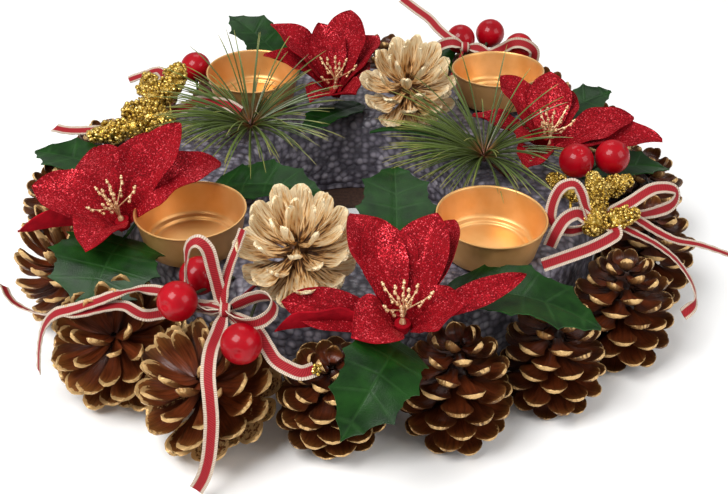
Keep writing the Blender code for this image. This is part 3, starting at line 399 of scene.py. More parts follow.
def pine_cone(name, stand, radius, height, growth, half_width, gilding, rng, finish):
    """A core with its scales, each a dished blade from a narrow root to a thick lip."""
    form, blade, scales, ripple, paler_by = growth
    core = 0.84 * form[-1][2]
    core_profile = [(0, 0.08 * height)]
    for k in range(9):
        girth = CONE_CORE * math.sin(math.pi * (0.15 + 0.7 * k / 8))
        core_profile.append((girth, height * (0.1 + (core - 0.14) * k / 8)))
    points, faces = turned(core_profile + [(0, core * height)], 12, False)
    traits = {
        "grain": [(0.0, 0.0, 0.0)] * len(points),
        "along": [0.0] * len(points),
        "outer": [0.0] * len(points),
        "gilt": [0.0] * len(points),
        "tone": [0.2] * len(points),
    }
    for n in range(scales):
        share = n / (scales - 1)
        level = form[0][0] + (form[-1][0] - form[0][0]) * share**0.95 + rng.uniform(-0.012, 0.012)
        reach = radius * through(form, level) * rng.uniform(0.96, 1.02)
        # The topmost scales stand in a bunch on the tip of the core
        root = Vector((4.4 - 2.9 * rise(level, 0.80, 1.02), height * through(form, level, 2)))
        tip = Vector((reach, height * level))
        bend = Vector((root.x + 0.62 * (tip.x - root.x), root.y + 0.30 * (tip.y - root.y) - 1.6))
        length = (tip - root).length
        angle = n * GOLDEN_ANGLE + rng.uniform(-0.06, 0.06)
        out = Vector((math.cos(angle), math.sin(angle), 0))
        aside = Vector((-out.y, out.x, 0))
        wide = half_width * (1.0 - 0.45 * rise(level, 0.62, 1.05))
        wide *= (0.86 + 0.14 * rise(level, 0, 0.2)) * rng.uniform(0.93, 1.06)
        tilt = rng.uniform(-0.10, 0.10)
        tip += Vector((rng.uniform(-1, 1), rng.uniform(-1, 1))) * 10 * (ripple - 0.05)
        seed, tone = rng.uniform(0, 60), rng.random() + paler_by
        took = min(gilding, 0.9) * rng.uniform(0.55, 1.25)
        first = len(points)
        for s, broad, thick, dish in blade:
            middle = root * (1 - s) ** 2 + bend * 2 * s * (1 - s) + tip * s**2
            ahead = ((bend - root) * (1 - s) + (tip - bend) * s).normalized()
            up = Vector((-ahead.y, ahead.x))
            ending = max(0.0, (s - ROUND_FROM) / (1 - ROUND_FROM))
            for k, u in enumerate(ABOVE + BELOW):
                above = k < len(ABOVE)
                # How near this point is to the rim, squared
                rim = (u * broad) ** 2 + ending**2 if ending else u * u
                side = u * broad * wide
                swell = thick / 2 * (1 if above else -1.0 - 0.4 * ending * (1 - abs(u)))
                lift = dish * (rim - 1) + (thick / 4 if abs(u) == 1 else swell)
                lift += tilt * side + ripple * math.sin(3.1 * side / 2.2 + seed)
                lift += 1.6 * ripple * math.sin(2.3 * s + seed) * s * u
                flat = middle + up * lift + ahead * 2.4 * ripple * math.sin(5 * u + seed) * ending
                points.append((out * flat.x + aside * side + Vector((0, 0, flat.y))) / 1000)
                traits["grain"].append((side, s * length, seed))
                traits["along"].append(s)
                traits["outer"].append(0.0 if above and abs(u) < 1 else 0.5 if above else 1.0)
                # The brush only reached the end of a scale and more of its back. The cones that
                # took most gold are dusted with it on their lower scales too
                lip = rise(rim, 0.80, 0.97) * rise(s, 0.62, 0.86)
                brushed = lip if above else rise(s, 0.78, 0.99)
                dusted = max(0.0, gilding - 1) * 1.3 * (1 - rise(level, 0.25, 0.6))
                traits["gilt"].append(took * brushed + dusted)
                traits["tone"].append(tone)
        loft(faces, first, len(blade), len(ABOVE + BELOW))
    return new_piece(name, [stand @ p for p in points], faces, finish, traits=traits)


# Pine cone scales, natural wood left dry, with gold paint brushed over the lips: dark
# satin chestnut dishes, paler ribbed backs and dull gilt crescents, all darkened towards the root
# by painted shade deep in the cone
scale_wood, tree, shader = new_material("pine_scale_gilt_lipped", IOR=1.5, Specular_IOR_Level=0.3)
grain = add(tree, "Attribute", attribute_name="grain").outputs["Vector"]
along, outer, gilt, tone = (
    add(tree, "Attribute", attribute_name=name).outputs["Fac"]
    for name in ("along", "outer", "gilt", "tone")
)
# Painted shade: the dish and back colours both darken towards the scale's root, inside the cone
dish_colour = add(
    tree, "ValToRGB", {"Fac": along},
    stops=((0.0, "2c1005"), (0.35, "54230d"), (0.7, "48200c"), (0.95, "5d3818")),
)
back_colour = add(
    tree, "ValToRGB", {"Fac": along},
    stops=((0.0, "180a04"), (0.5, "42220f"), (0.85, "64401d"), (1.0, "86602f")),
)
side = add(tree, "Mix", {"Factor": outer, "A": dish_colour, "B": back_colour}, data_type="RGBA")
# Wood grain runs from root to lip, with lines about 0.7 mm apart, coarser than in life
lines = add(tree, "Mapping", {"Vector": grain, "Scale": (1.4, 0.12, 1.0)})
streaks = add(tree, "TexNoise", {"Vector": lines, "Scale": 1.0, "Detail": 4.0})
streak_tone = add(
    tree, "MapRange",
    {"Value": streaks, "From Min": 0.3, "From Max": 0.7, "To Min": 0.55, "To Max": 1.3},
)
scale_tone = add(tree, "MapRange", {"Value": tone, "From Max": 2.0, "To Min": 0.7, "To Max": 2.0})
shade = add(tree, "Math", {0: streak_tone, 1: scale_tone}, operation="MULTIPLY")
wood = add(tree, "VectorMath", {0: side, "Scale": shade}, operation="SCALE")
# The brush left the paint broken up at about 1.2 mm
dabs = add(tree, "TexNoise", {"Vector": grain, "Scale": 0.85, "Detail": 5.0})
painted = add(tree, "Math", {0: dabs, 1: gilt}, operation="ADD")
paint = add(tree, "MapRange", {"Value": painted, "From Min": 0.93, "From Max": 1.08})
gilded = add(tree, "Mix", {"Factor": paint, "A": wood, "B": linear("d2ac74")}, data_type="RGBA")
metal = add(tree, "MapRange", {"Value": paint, "To Max": 0.45})
dull = add(tree, "MapRange", {"Value": outer, "To Min": 0.34, "To Max": 0.55})
relief = add(tree, "Bump", {"Height": streaks, "Strength": 0.5, "Distance": 0.0005})
connect(
    tree, shader, {"Base Color": gilded, "Metallic": metal, "Roughness": dull, "Normal": relief}
)

rng = random.Random(7)
for node, (x, y, z, bearing, lean, sideways, width, height, turn, gilding) in BROWN_CONES.items():
    stand = Matrix.Translation(at(x, y, z)) @ spun(bearing, "Z")
    stand = stand @ spun(sideways, "X") @ spun(lean, "Y") @ spun(turn, "Z")
    growth, half = BROWN_GROWTH, BROWN_SCALE_WIDTH * width
    if node in WIDE_OPEN:
        growth, half = OPEN_GROWTH, OPEN_SCALE_WIDTH * width
    name = "pine_" + node
    cone = pine_cone(name, stand, width / 2, height, growth, half, gilding, rng, scale_wood)
    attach(cone, "root")
    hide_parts(node)

# ---------------------------------------------------------------------------------------
# Gold cones: two wide-open pine cones sprayed all over with matte gold paint, glued on
# top of the foam so that they lean towards the front.

# Foot of each, its bearing, lean, width and height
GOLD_CONES = {
    "front": (-23, -88.5, 48.4, 274, 28, 46, 41),
    "back": (22, 50, 47.5, 266, 29, 43, 41),
}
GOLD_FORM = (
    (0.12, 0.60, 0.12), (0.20, 0.82, 0.16), (0.38, 1.00, 0.26), (0.58, 1.01, 0.36),
    (0.78, 0.90, 0.46), (0.97, 0.60, 0.55), (1.16, 0.16, 0.62),
)
# Their scales dried flatter and squarer at the end than the brown ones
SPRAYED_SCALE = (
    (0.00, 0.34, 1.6, 0.0), (0.18, 0.42, 1.1, 0.1), (0.34, 0.56, 0.8, 0.3), (0.48, 0.74, 0.8, 0.5),
    (0.60, 0.90, 0.9, 0.6), (0.72, 1.00, 1.0, 0.7), (0.83, 0.98, 1.1, 0.7), (0.92, 0.88, 1.2, 0.6),
    (0.98, 0.64, 1.1, 0.6), (1.00, 0.34, 0.8, 0.6),
)
GOLD_GROWTH = (GOLD_FORM, SPRAYED_SCALE, 42, 0.22, 0.0)
GOLD_SCALE_HALF = 4.9

# Gold spray paint over wood: matte warm gold, browner towards each scale's root as painted shade
# and palest towards its tip as a painted highlight
sprayed, tree, shader = new_material(
    "pine_scale_gold_sprayed", Roughness=0.45, IOR=1.5, Metallic=0.2,
)
grain = add(tree, "Attribute", attribute_name="grain").outputs["Vector"]
along = add(tree, "Attribute", attribute_name="along").outputs["Fac"]
lines = add(tree, "Mapping", {"Vector": grain, "Scale": (1.5, 0.16, 1.0)})
streaks = add(tree, "TexNoise", {"Vector": lines, "Scale": 1.0, "Detail": 5.0})
# The grain of the wood shows through at about 0.7 mm
mottle = add(tree, "Math", {0: streaks, 1: 3.0, 2: -1.5}, operation="MULTIPLY_ADD")
# Painted light along each scale: shade at the root and a highlight near the tip, broken up by the
# grain
grain_and_painted_light = add(tree, "Math", {0: along, 1: mottle}, operation="ADD")
gold = add(
    tree, "ValToRGB", {"Fac": grain_and_painted_light},
    stops=((0.0, "4a2a10"), (0.24, "b88246"), (0.46, "eec284"), (0.9, "fde8be")),
)
relief = add(tree, "Bump", {"Height": streaks, "Strength": 1.0, "Distance": 0.0018})
connect(tree, shader, {"Base Color": gold, "Normal": relief})

for place_name, (x, y, z, bearing, lean, width, height) in GOLD_CONES.items():
    stand = Matrix.Translation(at(x, y, z)) @ spun(bearing, "Z") @ spun(lean, "Y")
    name = "gold_pine_cone_" + place_name
    cone = pine_cone(
        name, stand, width / 2, height, GOLD_GROWTH, GOLD_SCALE_HALF, 1.0, rng, sprayed
    )
    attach(cone, "root")
    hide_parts("gold_cone_" + place_name)

# ---------------------------------------------------------------------------------------
# Poinsettias: four blooms of velvet petals, cut out, pressed with veins and sprinkled
# with glitter on their upper faces, gathered on a calyx whose wire is stuck in the foam.

# Heart, way it faces, end of its wire, and petals as (tip, half width, arch, roll)
BLOOMS = {
    "left": (
        (-95, -65, 55), (-0.25, -0.15, 1), (-95, -32),
        (
            ((-130, -62, 68), 11, 4, -25), ((-134, -76, 54), 8, 3, 52),
            ((-110, -31, 68), 11, 4, -14), ((-87, -35, 78), 9, 7, 8),
            ((-73, -37, 84), 9, 7, 20), ((-73, -50, 67.5), 8, 10, 34),
            ((-58, -35, 64), 8, 13, 26), ((-104, -92, 58), 11, 5, 0),
        ),
    ),
    "front": (
        (17, -127, 54), (0, -0.1, 1), (24, -100),
        (
            ((-3, -95.7, 79.9), 10, 8.25, -6), ((5, -102, 82), 11, 3, 0),
            ((29, -100, 84), 11, 3, 0), ((37, -92, 75), 10, 3, -10),
            ((62, -112, 66), 5, 2, 42), ((39, -133, 69), 9, 2, 30),
            ((-1, -143, 60), 11, 4, -20), ((-27, -120, 57), 8, 3, -40),
            ((-29, -128, 50), 9, 2, 50),
        ),
    ),
    "back": (
        (-13, 57, 54), (0, -0.25, 1), (-13, 72),
        (
            ((-45, 73, 80), 10, 3, 0), ((-48, 57, 70), 9, 4, 0), ((-22, 76, 80), 9, 3, 0),
            ((-6, 86, 82), 11, 3, 0), ((8, 80, 71), 9, 3, 0), ((4, 68, 62), 8, 2, 0),
            ((-24, 38, 56), 8, 3, 0), ((-2, 36, 60), 8, 3, 16),
        ),
    ),
    "right": (
        (84.5, 7, 54), (0.1, -0.1, 1), (82, 22),
        (
            ((62, 27, 77), 10, 3, 0), ((86, 33, 77), 10, 3, 0), ((95, 30, 69), 9, 3, 0),
            ((122, 10, 67), 8, 4, 30), ((134, 0, 60), 10, 4, 10), ((51, 22, 60), 7, 2, 0),
            ((68, -6, 63), 8, 3, 0), ((71, -22, 57), 8, 3, 0),
        ),
    ),
}
# Way along a petal and share of its half width there
PETAL_OUTLINE = (
    (0.0, 0.16), (0.15, 0.44), (0.32, 0.76), (0.60, 1.0), (0.82, 0.72), (0.94, 0.34), (1.0, 0.03),
)
PETAL_ROWS = 28
PETAL_HALF = 7


def tube(points, faces, path, radii, sides=8):
    """Add a round tube along a path of places in metres, with radii in millimetres."""
    first = len(points)
    guide = Vector((0.31, 0.17, 0.93))
    for i, co in enumerate(path):
        ahead = path[min(i + 1, len(path) - 1)] - path[max(i - 1, 0)]
        one = ahead.cross(guide).normalized()
        two = ahead.cross(one).normalized()
        for k in range(sides):
            angle = math.tau * k / sides
            points.append(co + (one * math.cos(angle) + two * math.sin(angle)) * radii[i] / 1000)
    loft(faces, first, len(path), sides)


def shell(faces, skins, first, rows, across):
    """Faces of an upper and a lower sheet of points and of the rim that joins them."""
    other = across * (rows + 1)
    for side in range(2):
        for i in range(rows):
            for j in range(across - 1):
                a = first + side * other + i * across + j
                faces.append((a, a + 1, a + across + 1, a + across))
                skins.append(side)
    rim = [first + i * across for i in range(rows + 1)]
    rim += [first + rows * across + j for j in range(1, across)]
    rim += [first + i * across + across - 1 for i in range(rows - 1, -1, -1)]
    rim += [first + j for j in range(across - 2, 0, -1)]
    for k, a in enumerate(rim):
        b = rim[(k + 1) % len(rim)]
        faces.append((a, b, b + other, a + other))
        skins.append(1)


def blade_frame(root, tip, roll):
    """The way along, aside and up from the face of a petal or leaf."""
    chord = tip - root
    aside = chord.cross(Vector((0, 0, 1))).normalized()
    aside = Matrix.Rotation(math.radians(roll), 3, chord.normalized()) @ aside
    return chord, aside, aside.cross(chord).normalized()


def petal(points, faces, skins, traits, root, tip, half_width, arch, roll, rng):
    """A thin shell with a keel, pressed veins, a wavy rim and a tip that curls."""
    chord, aside, face = blade_frame(root, tip, roll)
    length = chord.length * 1000
    phase, waves, curl = rng.uniform(0, math.tau), rng.uniform(1.6, 2.6), rng.uniform(-1.0, 2.2)
    seed = rng.uniform(0, 80)
    first = len(points)
    for below in (False, True):
        for i in range(PETAL_ROWS + 1):
            s = i / PETAL_ROWS
            broad = through(PETAL_OUTLINE, s) * half_width
            for j in range(-PETAL_HALF, PETAL_HALF + 1):
                u = j / PETAL_HALF
                lift = arch * 4 * s * (1 - s) + 0.42 * broad * abs(u) ** 1.3 - 1.2 * (1 - s)
                wave = math.sin(phase + math.tau * waves * s + 0.8 * u)
                lift += 0.9 * wave * u * u * rise(s, 0.1, 0.5)
                lift -= 0.6 * math.exp(-((u * broad / 0.7) ** 2)) * (1 - 0.7 * s)
                vein = math.cos(math.tau * (s * 7.5 - abs(u) * 1.6))
                lift -= 0.22 * max(0.0, vein) ** 3 * rise(abs(u), 0.05, 0.3) * (1 - s) ** 0.5
                lift += curl * max(0.0, s - 0.72) ** 2 * 12
                lift += -0.25 if below else 0.25
                points.append(root + chord * s + aside * u * broad / 1000 + face * lift / 1000)
                traits["grain"].append((u * broad, s * length, seed))
    shell(faces, skins, first, PETAL_ROWS, 2 * PETAL_HALF + 1)


# Polyester velvet, cut and pressed, with glitter glued on: saturated red, soft at the
# edges, and full of small pink-white painted glints, highlights coloured onto random flakes
glittered, tree, shader = new_material("velvet_glitter_sprinkled", IOR=1.5, Specular_IOR_Level=0.1)
place = add(tree, "TexCoord").outputs["Object"]
grain = add(tree, "Attribute", attribute_name="grain").outputs["Vector"]
# Glitter flakes are 0.2 mm in life and drawn at 0.36 mm, so that single ones show
flakes = add(tree, "TexVoronoi", {"Vector": place, "Scale": 1000 / 0.36})
parts = add(tree, "SeparateColor", {"Color": flakes.outputs["Color"]})
is_flake = add(
    tree, "MapRange", {"Value": parts.outputs["Red"], "From Min": 0.62, "From Max": 0.66},
)
# Painted highlight: a few flakes are coloured pink-white as glints under any light
painted_glint_mask = add(
    tree, "MapRange", {"Value": parts.outputs["Red"], "From Min": 0.93, "From Max": 0.97},
)
# The nap lies in soft patches of about 5 mm
nap = add(tree, "TexNoise", {"Vector": place, "Scale": 1000 / 5, "Detail": 3.0})
velvet = add(tree, "ValToRGB", {"Fac": nap}, stops=((0.3, "66040c"), (0.7, "7e0811")))
flake_red = add(
    tree, "Mix", {"Factor": is_flake, "A": velvet, "B": linear("a01420")}, data_type="RGBA",
)
painted_glint_colour = add(
    tree, "Mix", {"Factor": painted_glint_mask, "A": flake_red, "B": linear("dc5058")}, data_type="RGBA",
)
metal = add(tree, "MapRange", {"Value": is_flake, "To Max": 0.3})
dull = add(tree, "MapRange", {"Value": is_flake, "To Min": 0.75, "To Max": 0.3})
# Each flake lies at its own tilt
tilt = add(tree, "MapRange", {"Value": parts.outputs["Green"], "To Max": 0.35})
relief = add(
    tree, "Bump", {"Height": flakes.outputs["Distance"], "Strength": tilt, "Distance": 0.0003},
)
connect(
    tree, shader, {"Base Color": painted_glint_colour, "Metallic": metal, "Roughness": dull, "Normal": relief}
)

# The same velvet bare on its back, deep crimson with a faint bloom at grazing angles
velvet_back, tree, shader = new_material(
    "velvet_bare", Roughness=0.85, IOR=1.5, Specular_IOR_Level=0.1, Sheen_Weight=0.1,
    Sheen_Tint=linear("e03040"),
)
place = add(tree, "TexCoord").outputs["Object"]
nap = add(tree, "TexNoise", {"Vector": place, "Scale": 1000 / 4, "Detail": 4.0})
crimson = add(tree, "ValToRGB", {"Fac": nap}, stops=((0.3, "78020f"), (0.7, "a2091a")))
connect(tree, shader, {"Base Color": crimson})

CALYX = 4
# Radius of the wires that hold the pieces, and the height where they enter the foam
WIRE = 0.7
WIRE_END = 44.2
for corner, (heart, axis, stem, petals) in BLOOMS.items():
    rng = random.Random("bloom " + corner)
    points, faces = [], []
    middle = at(*heart)
    up = Vector(axis).normalized()
    base = middle - up * CALYX / 1000
    tube(points, faces, [middle, middle - up * 0.002, base], [3.0, 3.0, 2.2], 14)
    foot = at(*stem, WIRE_END)
    path = [base, base.lerp(foot, 0.5) - Vector((0, 0, 0.001)), foot]
    tube(points, faces, path, [WIRE] * 3)
    skins = [1] * len(faces)
    traits = {"grain": [(0.0, 0.0, 0.0)] * len(points)}
    for k, (tip, half_width, arch, roll) in enumerate(petals):
        root = middle - up * CALYX / 1000 * (0.3, 0.55)[k % 2]
        flat = (at(*tip) - root) - up * (at(*tip) - root).dot(up)
        root += flat.normalized() * CALYX / 1000 * 0.55
        petal(points, faces, skins, traits, root, at(*tip), half_width, arch, roll, rng)
    bloom = new_piece(
        "poinsettia_" + corner, points, faces, glittered, velvet_back, traits=traits, skins=skins,
    )
    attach(bloom, "root")
    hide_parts("bloom_" + corner)

# ---------------------------------------------------------------------------------------
# Stamens: in the heart of each bloom a bunch of moulded stalks painted pale gold, each
# ending in a few small beaded pips.

# Plastic under pale gold paint: satin, warm, a little rough from the grains on it
pip_gold, tree, shader = new_material(
    "plastic_gold_painted", Roughness=0.38, Metallic=0.55, IOR=1.5,
)
place = add(tree, "TexCoord").outputs["Object"]
grains = add(tree, "TexNoise", {"Vector": place, "Scale": 1000 / 0.9, "Detail": 2.0})
pale = add(tree, "ValToRGB", {"Fac": grains}, stops=((0.3, "cf9f68"), (0.7, "f8dcb2")))
relief = add(tree, "Bump", {"Height": grains, "Strength": 0.5, "Distance": 0.0004})
connect(tree, shader, {"Base Color": pale, "Normal": relief})


STALKS = 8
STALK_LENGTH = 16.5


def bead(points, faces, centre, radius, detail=1):
    """Add a round bead, with its radius in millimetres."""
    bm = bmesh.new()
    bmesh.ops.create_icosphere(bm, subdivisions=detail, radius=radius / 1000)
    first = len(points)
    points.extend(centre + vert.co for vert in bm.verts)
    faces.extend(tuple(first + vert.index for vert in face.verts) for face in bm.faces)
    bm.free()


for corner, (heart, axis, _, _) in BLOOMS.items():
    rng = random.Random("stamens " + corner)
    points, faces = [], []
    up = Vector(axis).normalized()
    one = up.cross(Vector((0, 1, 0))).normalized()
    two = up.cross(one)
    foot = at(*heart) + up * 0.0003
    tube(points, faces, [foot, foot + up * 0.0012, foot + up * 0.002], [1.3, 1.1, 0.5], 12)
    for k in range(STALKS):
        angle = math.tau * (k + rng.uniform(-0.25, 0.25)) / STALKS
        spread = math.radians((12, 38, 30)[k % 3] + rng.uniform(-3, 3))
        out = one * math.cos(angle) + two * math.sin(angle)
        way = up * math.cos(spread) + out * math.sin(spread)
        start = foot + up * 0.001
        end = start + way * STALK_LENGTH / 1000 * rng.uniform(0.85, 1.08)
        path = [start, foot + up * 0.005 + way * 0.002, foot.lerp(end, 0.7) + up * 0.0008, end]
        tube(points, faces, path, [0.35, 0.28, 0.25, 0.22], 7)
        # Drops in a row up the last 8 mm of the stalk, each a little to one side
        for m in range(4):
            turn = angle + math.pi * m + rng.uniform(-0.6, 0.6)
            off = (one * math.cos(turn) + two * math.sin(turn)) * 0.0004
            drop = end - way * (0.0084 - 0.0027 * m) + off
            bead(points, faces, drop, 0.72, 2)
            bead(points, faces, drop + way * 0.0009, 0.46, 2)
    pips = new_piece("poinsettia_stamens_" + corner, points, faces, pip_gold)
    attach(pips, "root")
    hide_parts("stamens_" + corner)

# ---------------------------------------------------------------------------------------
# Leaves: twelve holly-shaped leaves die-cut from green satin cloth and pressed with
# veins, standing on the foam or wired to it.

# Root, tip, half width, arch, roll and where a wire from the root reaches the foam
LEAVES = {
    "left_low": ((-93, -72, 51), (-102, -106, 38), 23, 6, -7, (-91, -38)),
    "left_high": ((-92, -22, 44.8), (-147, 2, 47), 16, 3, 0, None),
    "inner_left": ((-64, -22, 44.8), (-16, -31, 49), 17, 3, 0, None),
    "back_left": ((-34, 88, 44.8), (-70, 114, 66), 16, 3, 0, None),
    "back_right": ((34, 84, 44.8), (45, 121.3, 51.8), 8, 0, 16, None),
    "inner_back": ((62, 14, 44.8), (4, 17, 52), 9, 5, 15, None),
    "inner_mid": ((0, 59, 44.8), (-28, 27, 48), 9, 1, 0, None),
    "right_high": ((86, 36, 44.8), (118, 44, 62), 15, 3, 0, None),
    "right_low": ((94, -4, 44.8), (139, -1, 47), 12, 3, 0, None),
    "inner_front": ((16, -80, 44.8), (15, -20, 56), 17, 4, 0, None),
    "front_low": ((16, -126.5, 45), (-4, -165, 31.5), 15.5, 13.5, -22, (10, -96)),
    "front_right": ((33, -98, 46.5), (91, -117, 45.5), 17, 7, 0, None),
}
# The rim as (way along the midrib where its vein starts, way along at the rim, half
# width), with teeth and notches in turn
LEAF_OUTLINE = (
    (0.0, 0.0, 0.12), (0.05, 0.05, 0.48), (0.12, 0.20, 0.90), (0.22, 0.26, 0.80),
    (0.30, 0.34, 0.86), (0.38, 0.49, 1.0), (0.50, 0.55, 0.84), (0.58, 0.63, 0.80),
    (0.64, 0.77, 0.84), (0.76, 0.81, 0.58), (0.88, 0.91, 0.36), (1.0, 1.0, 0.015),
)
LEAF_STEPS = 4
LEAF_HALF = 9


def leaf_rim(i):
    """The outline between its rows, hollow between a tooth and the notches beside it."""
    k, t = divmod(i, LEAF_STEPS)
    if k >= len(LEAF_OUTLINE) - 1:
        return LEAF_OUTLINE[-1]
    near, far = LEAF_OUTLINE[k], LEAF_OUTLINE[k + 1]
    t /= LEAF_STEPS
    row = [a + (b - a) * t for a, b in zip(near, far)]
    row[2] -= 0.05 * math.sin(math.pi * t) * (1 if k > 0 else -1)
    return row


def leaf(points, faces, skins, traits, root, tip, half_width, arch, roll, rng):
    """A thin shell that puffs up between its veins and waves along its toothed rim."""
    chord, aside, face = blade_frame(root, tip, roll)
    length = chord.length * 1000
    phase, seed = rng.uniform(0, math.tau), rng.uniform(0, 80)
    rows = LEAF_STEPS * (len(LEAF_OUTLINE) - 1)
    first = len(points)
    for below in (False, True):
        for i in range(rows + 1):
            start, end, broad = leaf_rim(i)
            for j in range(-LEAF_HALF, LEAF_HALF + 1):
                u = abs(j) / LEAF_HALF
                s = start + (end - start) * u
                side = broad * half_width * j / LEAF_HALF
                lift = arch * 4 * s * (1 - s) + 0.12 * broad * half_width * u**1.3
                puff = abs(math.sin(math.pi * i / (2 * LEAF_STEPS) + 0.9))
                lift += 0.55 * (puff - 0.6) * math.sin(math.pi * min(1.0, u * 1.15)) * (1 - s)
                lift -= 0.5 * math.exp(-((side / 0.7) ** 2)) * (1 - 0.6 * s)
                wave = math.sin(phase + 9 * s + (0.6 if j > 0 else 2.0))
                lift += 0.8 * wave * u**2 * rise(s, 0.05, 0.4)
                lift += -0.25 if below else 0.2
                points.append(root + chord * s + aside * side / 1000 + face * lift / 1000)
                traits["grain"].append((side, s * length, seed))
                traits["vein"].append(float(i) / (2 * LEAF_STEPS))
                traits["edge"].append(u)
    shell(faces, skins, first, rows, 2 * LEAF_HALF + 1)


# Satin cloth stiffened with resin and pressed: deep green with a soft waxy gloss and
# finely drawn paler veins
leaf_cloths = []
for name, dark, light, gloss in (
    ("satin_cloth_pressed", "0a2407", "183c10", 0.36),
    ("satin_cloth_back", "143812", "275423", 0.6),
):
    cloth, tree, shader = new_material(name, Roughness=gloss, IOR=1.5, Specular_IOR_Level=0.16)
    place = add(tree, "TexCoord").outputs["Object"]
    grain = add(tree, "Attribute", attribute_name="grain").outputs["Vector"]
    vein, edge = (
        add(tree, "Attribute", attribute_name=trait).outputs["Fac"] for trait in ("vein", "edge")
    )
    # Dye in clouds of about 7 mm
    clouds = add(tree, "TexNoise", {"Vector": place, "Scale": 1000 / 7, "Detail": 4.0})
    dye = add(tree, "ValToRGB", {"Fac": clouds}, stops=((0.3, dark), (0.7, light)))
    # Side veins leave the midrib every half step of the rim, as lines about 0.4 mm wide
    comb = add(tree, "Math", {0: vein, 1: 0.5}, operation="PINGPONG")
    line = add(
        tree, "MapRange",
        {"Value": comb, "From Min": 0.02, "From Max": 0.09, "To Min": 1.0, "To Max": 0.0},
    )
    apart = add(tree, "SeparateXYZ", {"Vector": grain})
    off_middle = add(tree, "Math", {0: apart.outputs["X"]}, operation="ABSOLUTE")
    midrib = add(
        tree, "MapRange",
        {"Value": off_middle, "From Min": 0.25, "From Max": 0.6, "To Min": 1.0, "To Max": 0.0},
    )
    faded = add(
        tree, "MapRange",
        {"Value": edge, "From Min": 0.5, "From Max": 1.0, "To Min": 1.0, "To Max": 0.2},
    )
    side_veins = add(tree, "Math", {0: line, 1: faded}, operation="MULTIPLY")
    veins = add(tree, "Math", {0: side_veins, 1: midrib}, operation="MAXIMUM")
    drawn = add(tree, "MapRange", {"Value": veins, "To Max": 0.14})
    green = add(tree, "Mix", {"Factor": drawn, "A": dye, "B": linear("3f6634")}, data_type="RGBA")
    # The weave is 0.15 mm in life and drawn at 0.5 mm
    threads = add(tree, "TexNoise", {"Vector": place, "Scale": 1000 / 0.5, "Detail": 1.0})
    pressed = add(tree, "Math", {0: veins, 1: -1.0, 2: threads}, operation="MULTIPLY_ADD")
    relief = add(tree, "Bump", {"Height": pressed, "Strength": 0.25, "Distance": 0.0003})
    connect(tree, shader, {"Base Color": green, "Normal": relief})
    leaf_cloths.append(cloth)

for place_name, (root, tip, half_width, arch, roll, foot) in LEAVES.items():
    rng = random.Random("leaf " + place_name)
    points, faces, skins = [], [], []
    traits = {"grain": [], "vein": [], "edge": []}
    leaf(points, faces, skins, traits, at(*root), at(*tip), half_width, arch, roll, rng)
    if foot:
        start, end = at(*root), at(*foot, WIRE_END)
        tube(points, faces, [start, start.lerp(end, 0.5) - Vector((0, 0, 0.001)), end], [WIRE] * 3)
        extra = len(points) - len(traits["edge"])
        skins += [1] * (len(faces) - len(skins))
        traits["grain"] += [(9.0, 0.0, 0.0)] * extra
        traits["vein"] += [0.25] * extra
        traits["edge"] += [1.0] * extra
    holly = new_piece(
        "holly_leaf_" + place_name, points, faces, *leaf_cloths, traits=traits, skins=skins,
    )
    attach(holly, "root")
    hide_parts("leaf_" + place_name)

# ---------------------------------------------------------------------------------------
# Berries: nine foam balls of 15 mm dipped in red lacquer, singly or in twos and threes,
# on paper-wrapped wires stuck in the foam ring.

# Foot of each pick and the centres of its berries
BERRIES = {
    "front_left": ((-48, -88), ((-65, -119, 55.5), (-60, -98, 52))),
    "front": ((-36, -90), ((-40, -137.7, 51.5),)),
    "right": ((92, -12), ((93, -20, 61), (109, -16, 61))),
    "back": ((56, 87), ((50.5, 111, 57), (66.5, 119, 57), (80, 102, 57))),
    "left": ((-80, 56), ((-83.5, 77, 54),)),
}

# Lacquer over foam: deep cherry red under a thick clear gloss, faintly uneven
lacquer, tree, shader = new_material(
    "lacquer_dipped", Roughness=0.45, IOR=1.5, Specular_IOR_Level=0.1, Coat_Weight=0.32,
    Coat_Roughness=0.05,
)
place = add(tree, "TexCoord").outputs["Object"]
depth = add(tree, "TexNoise", {"Vector": place, "Scale": 1000 / 9, "Detail": 2.0})
cherry = add(tree, "ValToRGB", {"Fac": depth}, stops=((0.3, "86000e"), (0.7, "a80214")))
# Runs and dust in the lacquer, about 2.5 mm apart
runs = add(tree, "TexNoise", {"Vector": place, "Scale": 1000 / 2.5, "Detail": 1.0})
relief = add(tree, "Bump", {"Height": runs, "Strength": 0.06, "Distance": 0.0004})
connect(tree, shader, {"Base Color": cherry, "Coat Normal": relief})

# Wire wrapped in crepe paper: dry dark green, with the wrap's turns as fine ridges
wrapped, tree, shader = new_material("crepe_paper_wound", Roughness=0.8, IOR=1.45)
place = add(tree, "TexCoord").outputs["Object"]
turns = add(tree, "TexNoise", {"Vector": place, "Scale": 1000 / 0.8, "Detail": 2.0})
paper = add(tree, "ValToRGB", {"Fac": turns}, stops=((0.3, "1d2412"), (0.7, "3a3f22")))
connect(tree, shader, {"Base Color": paper})

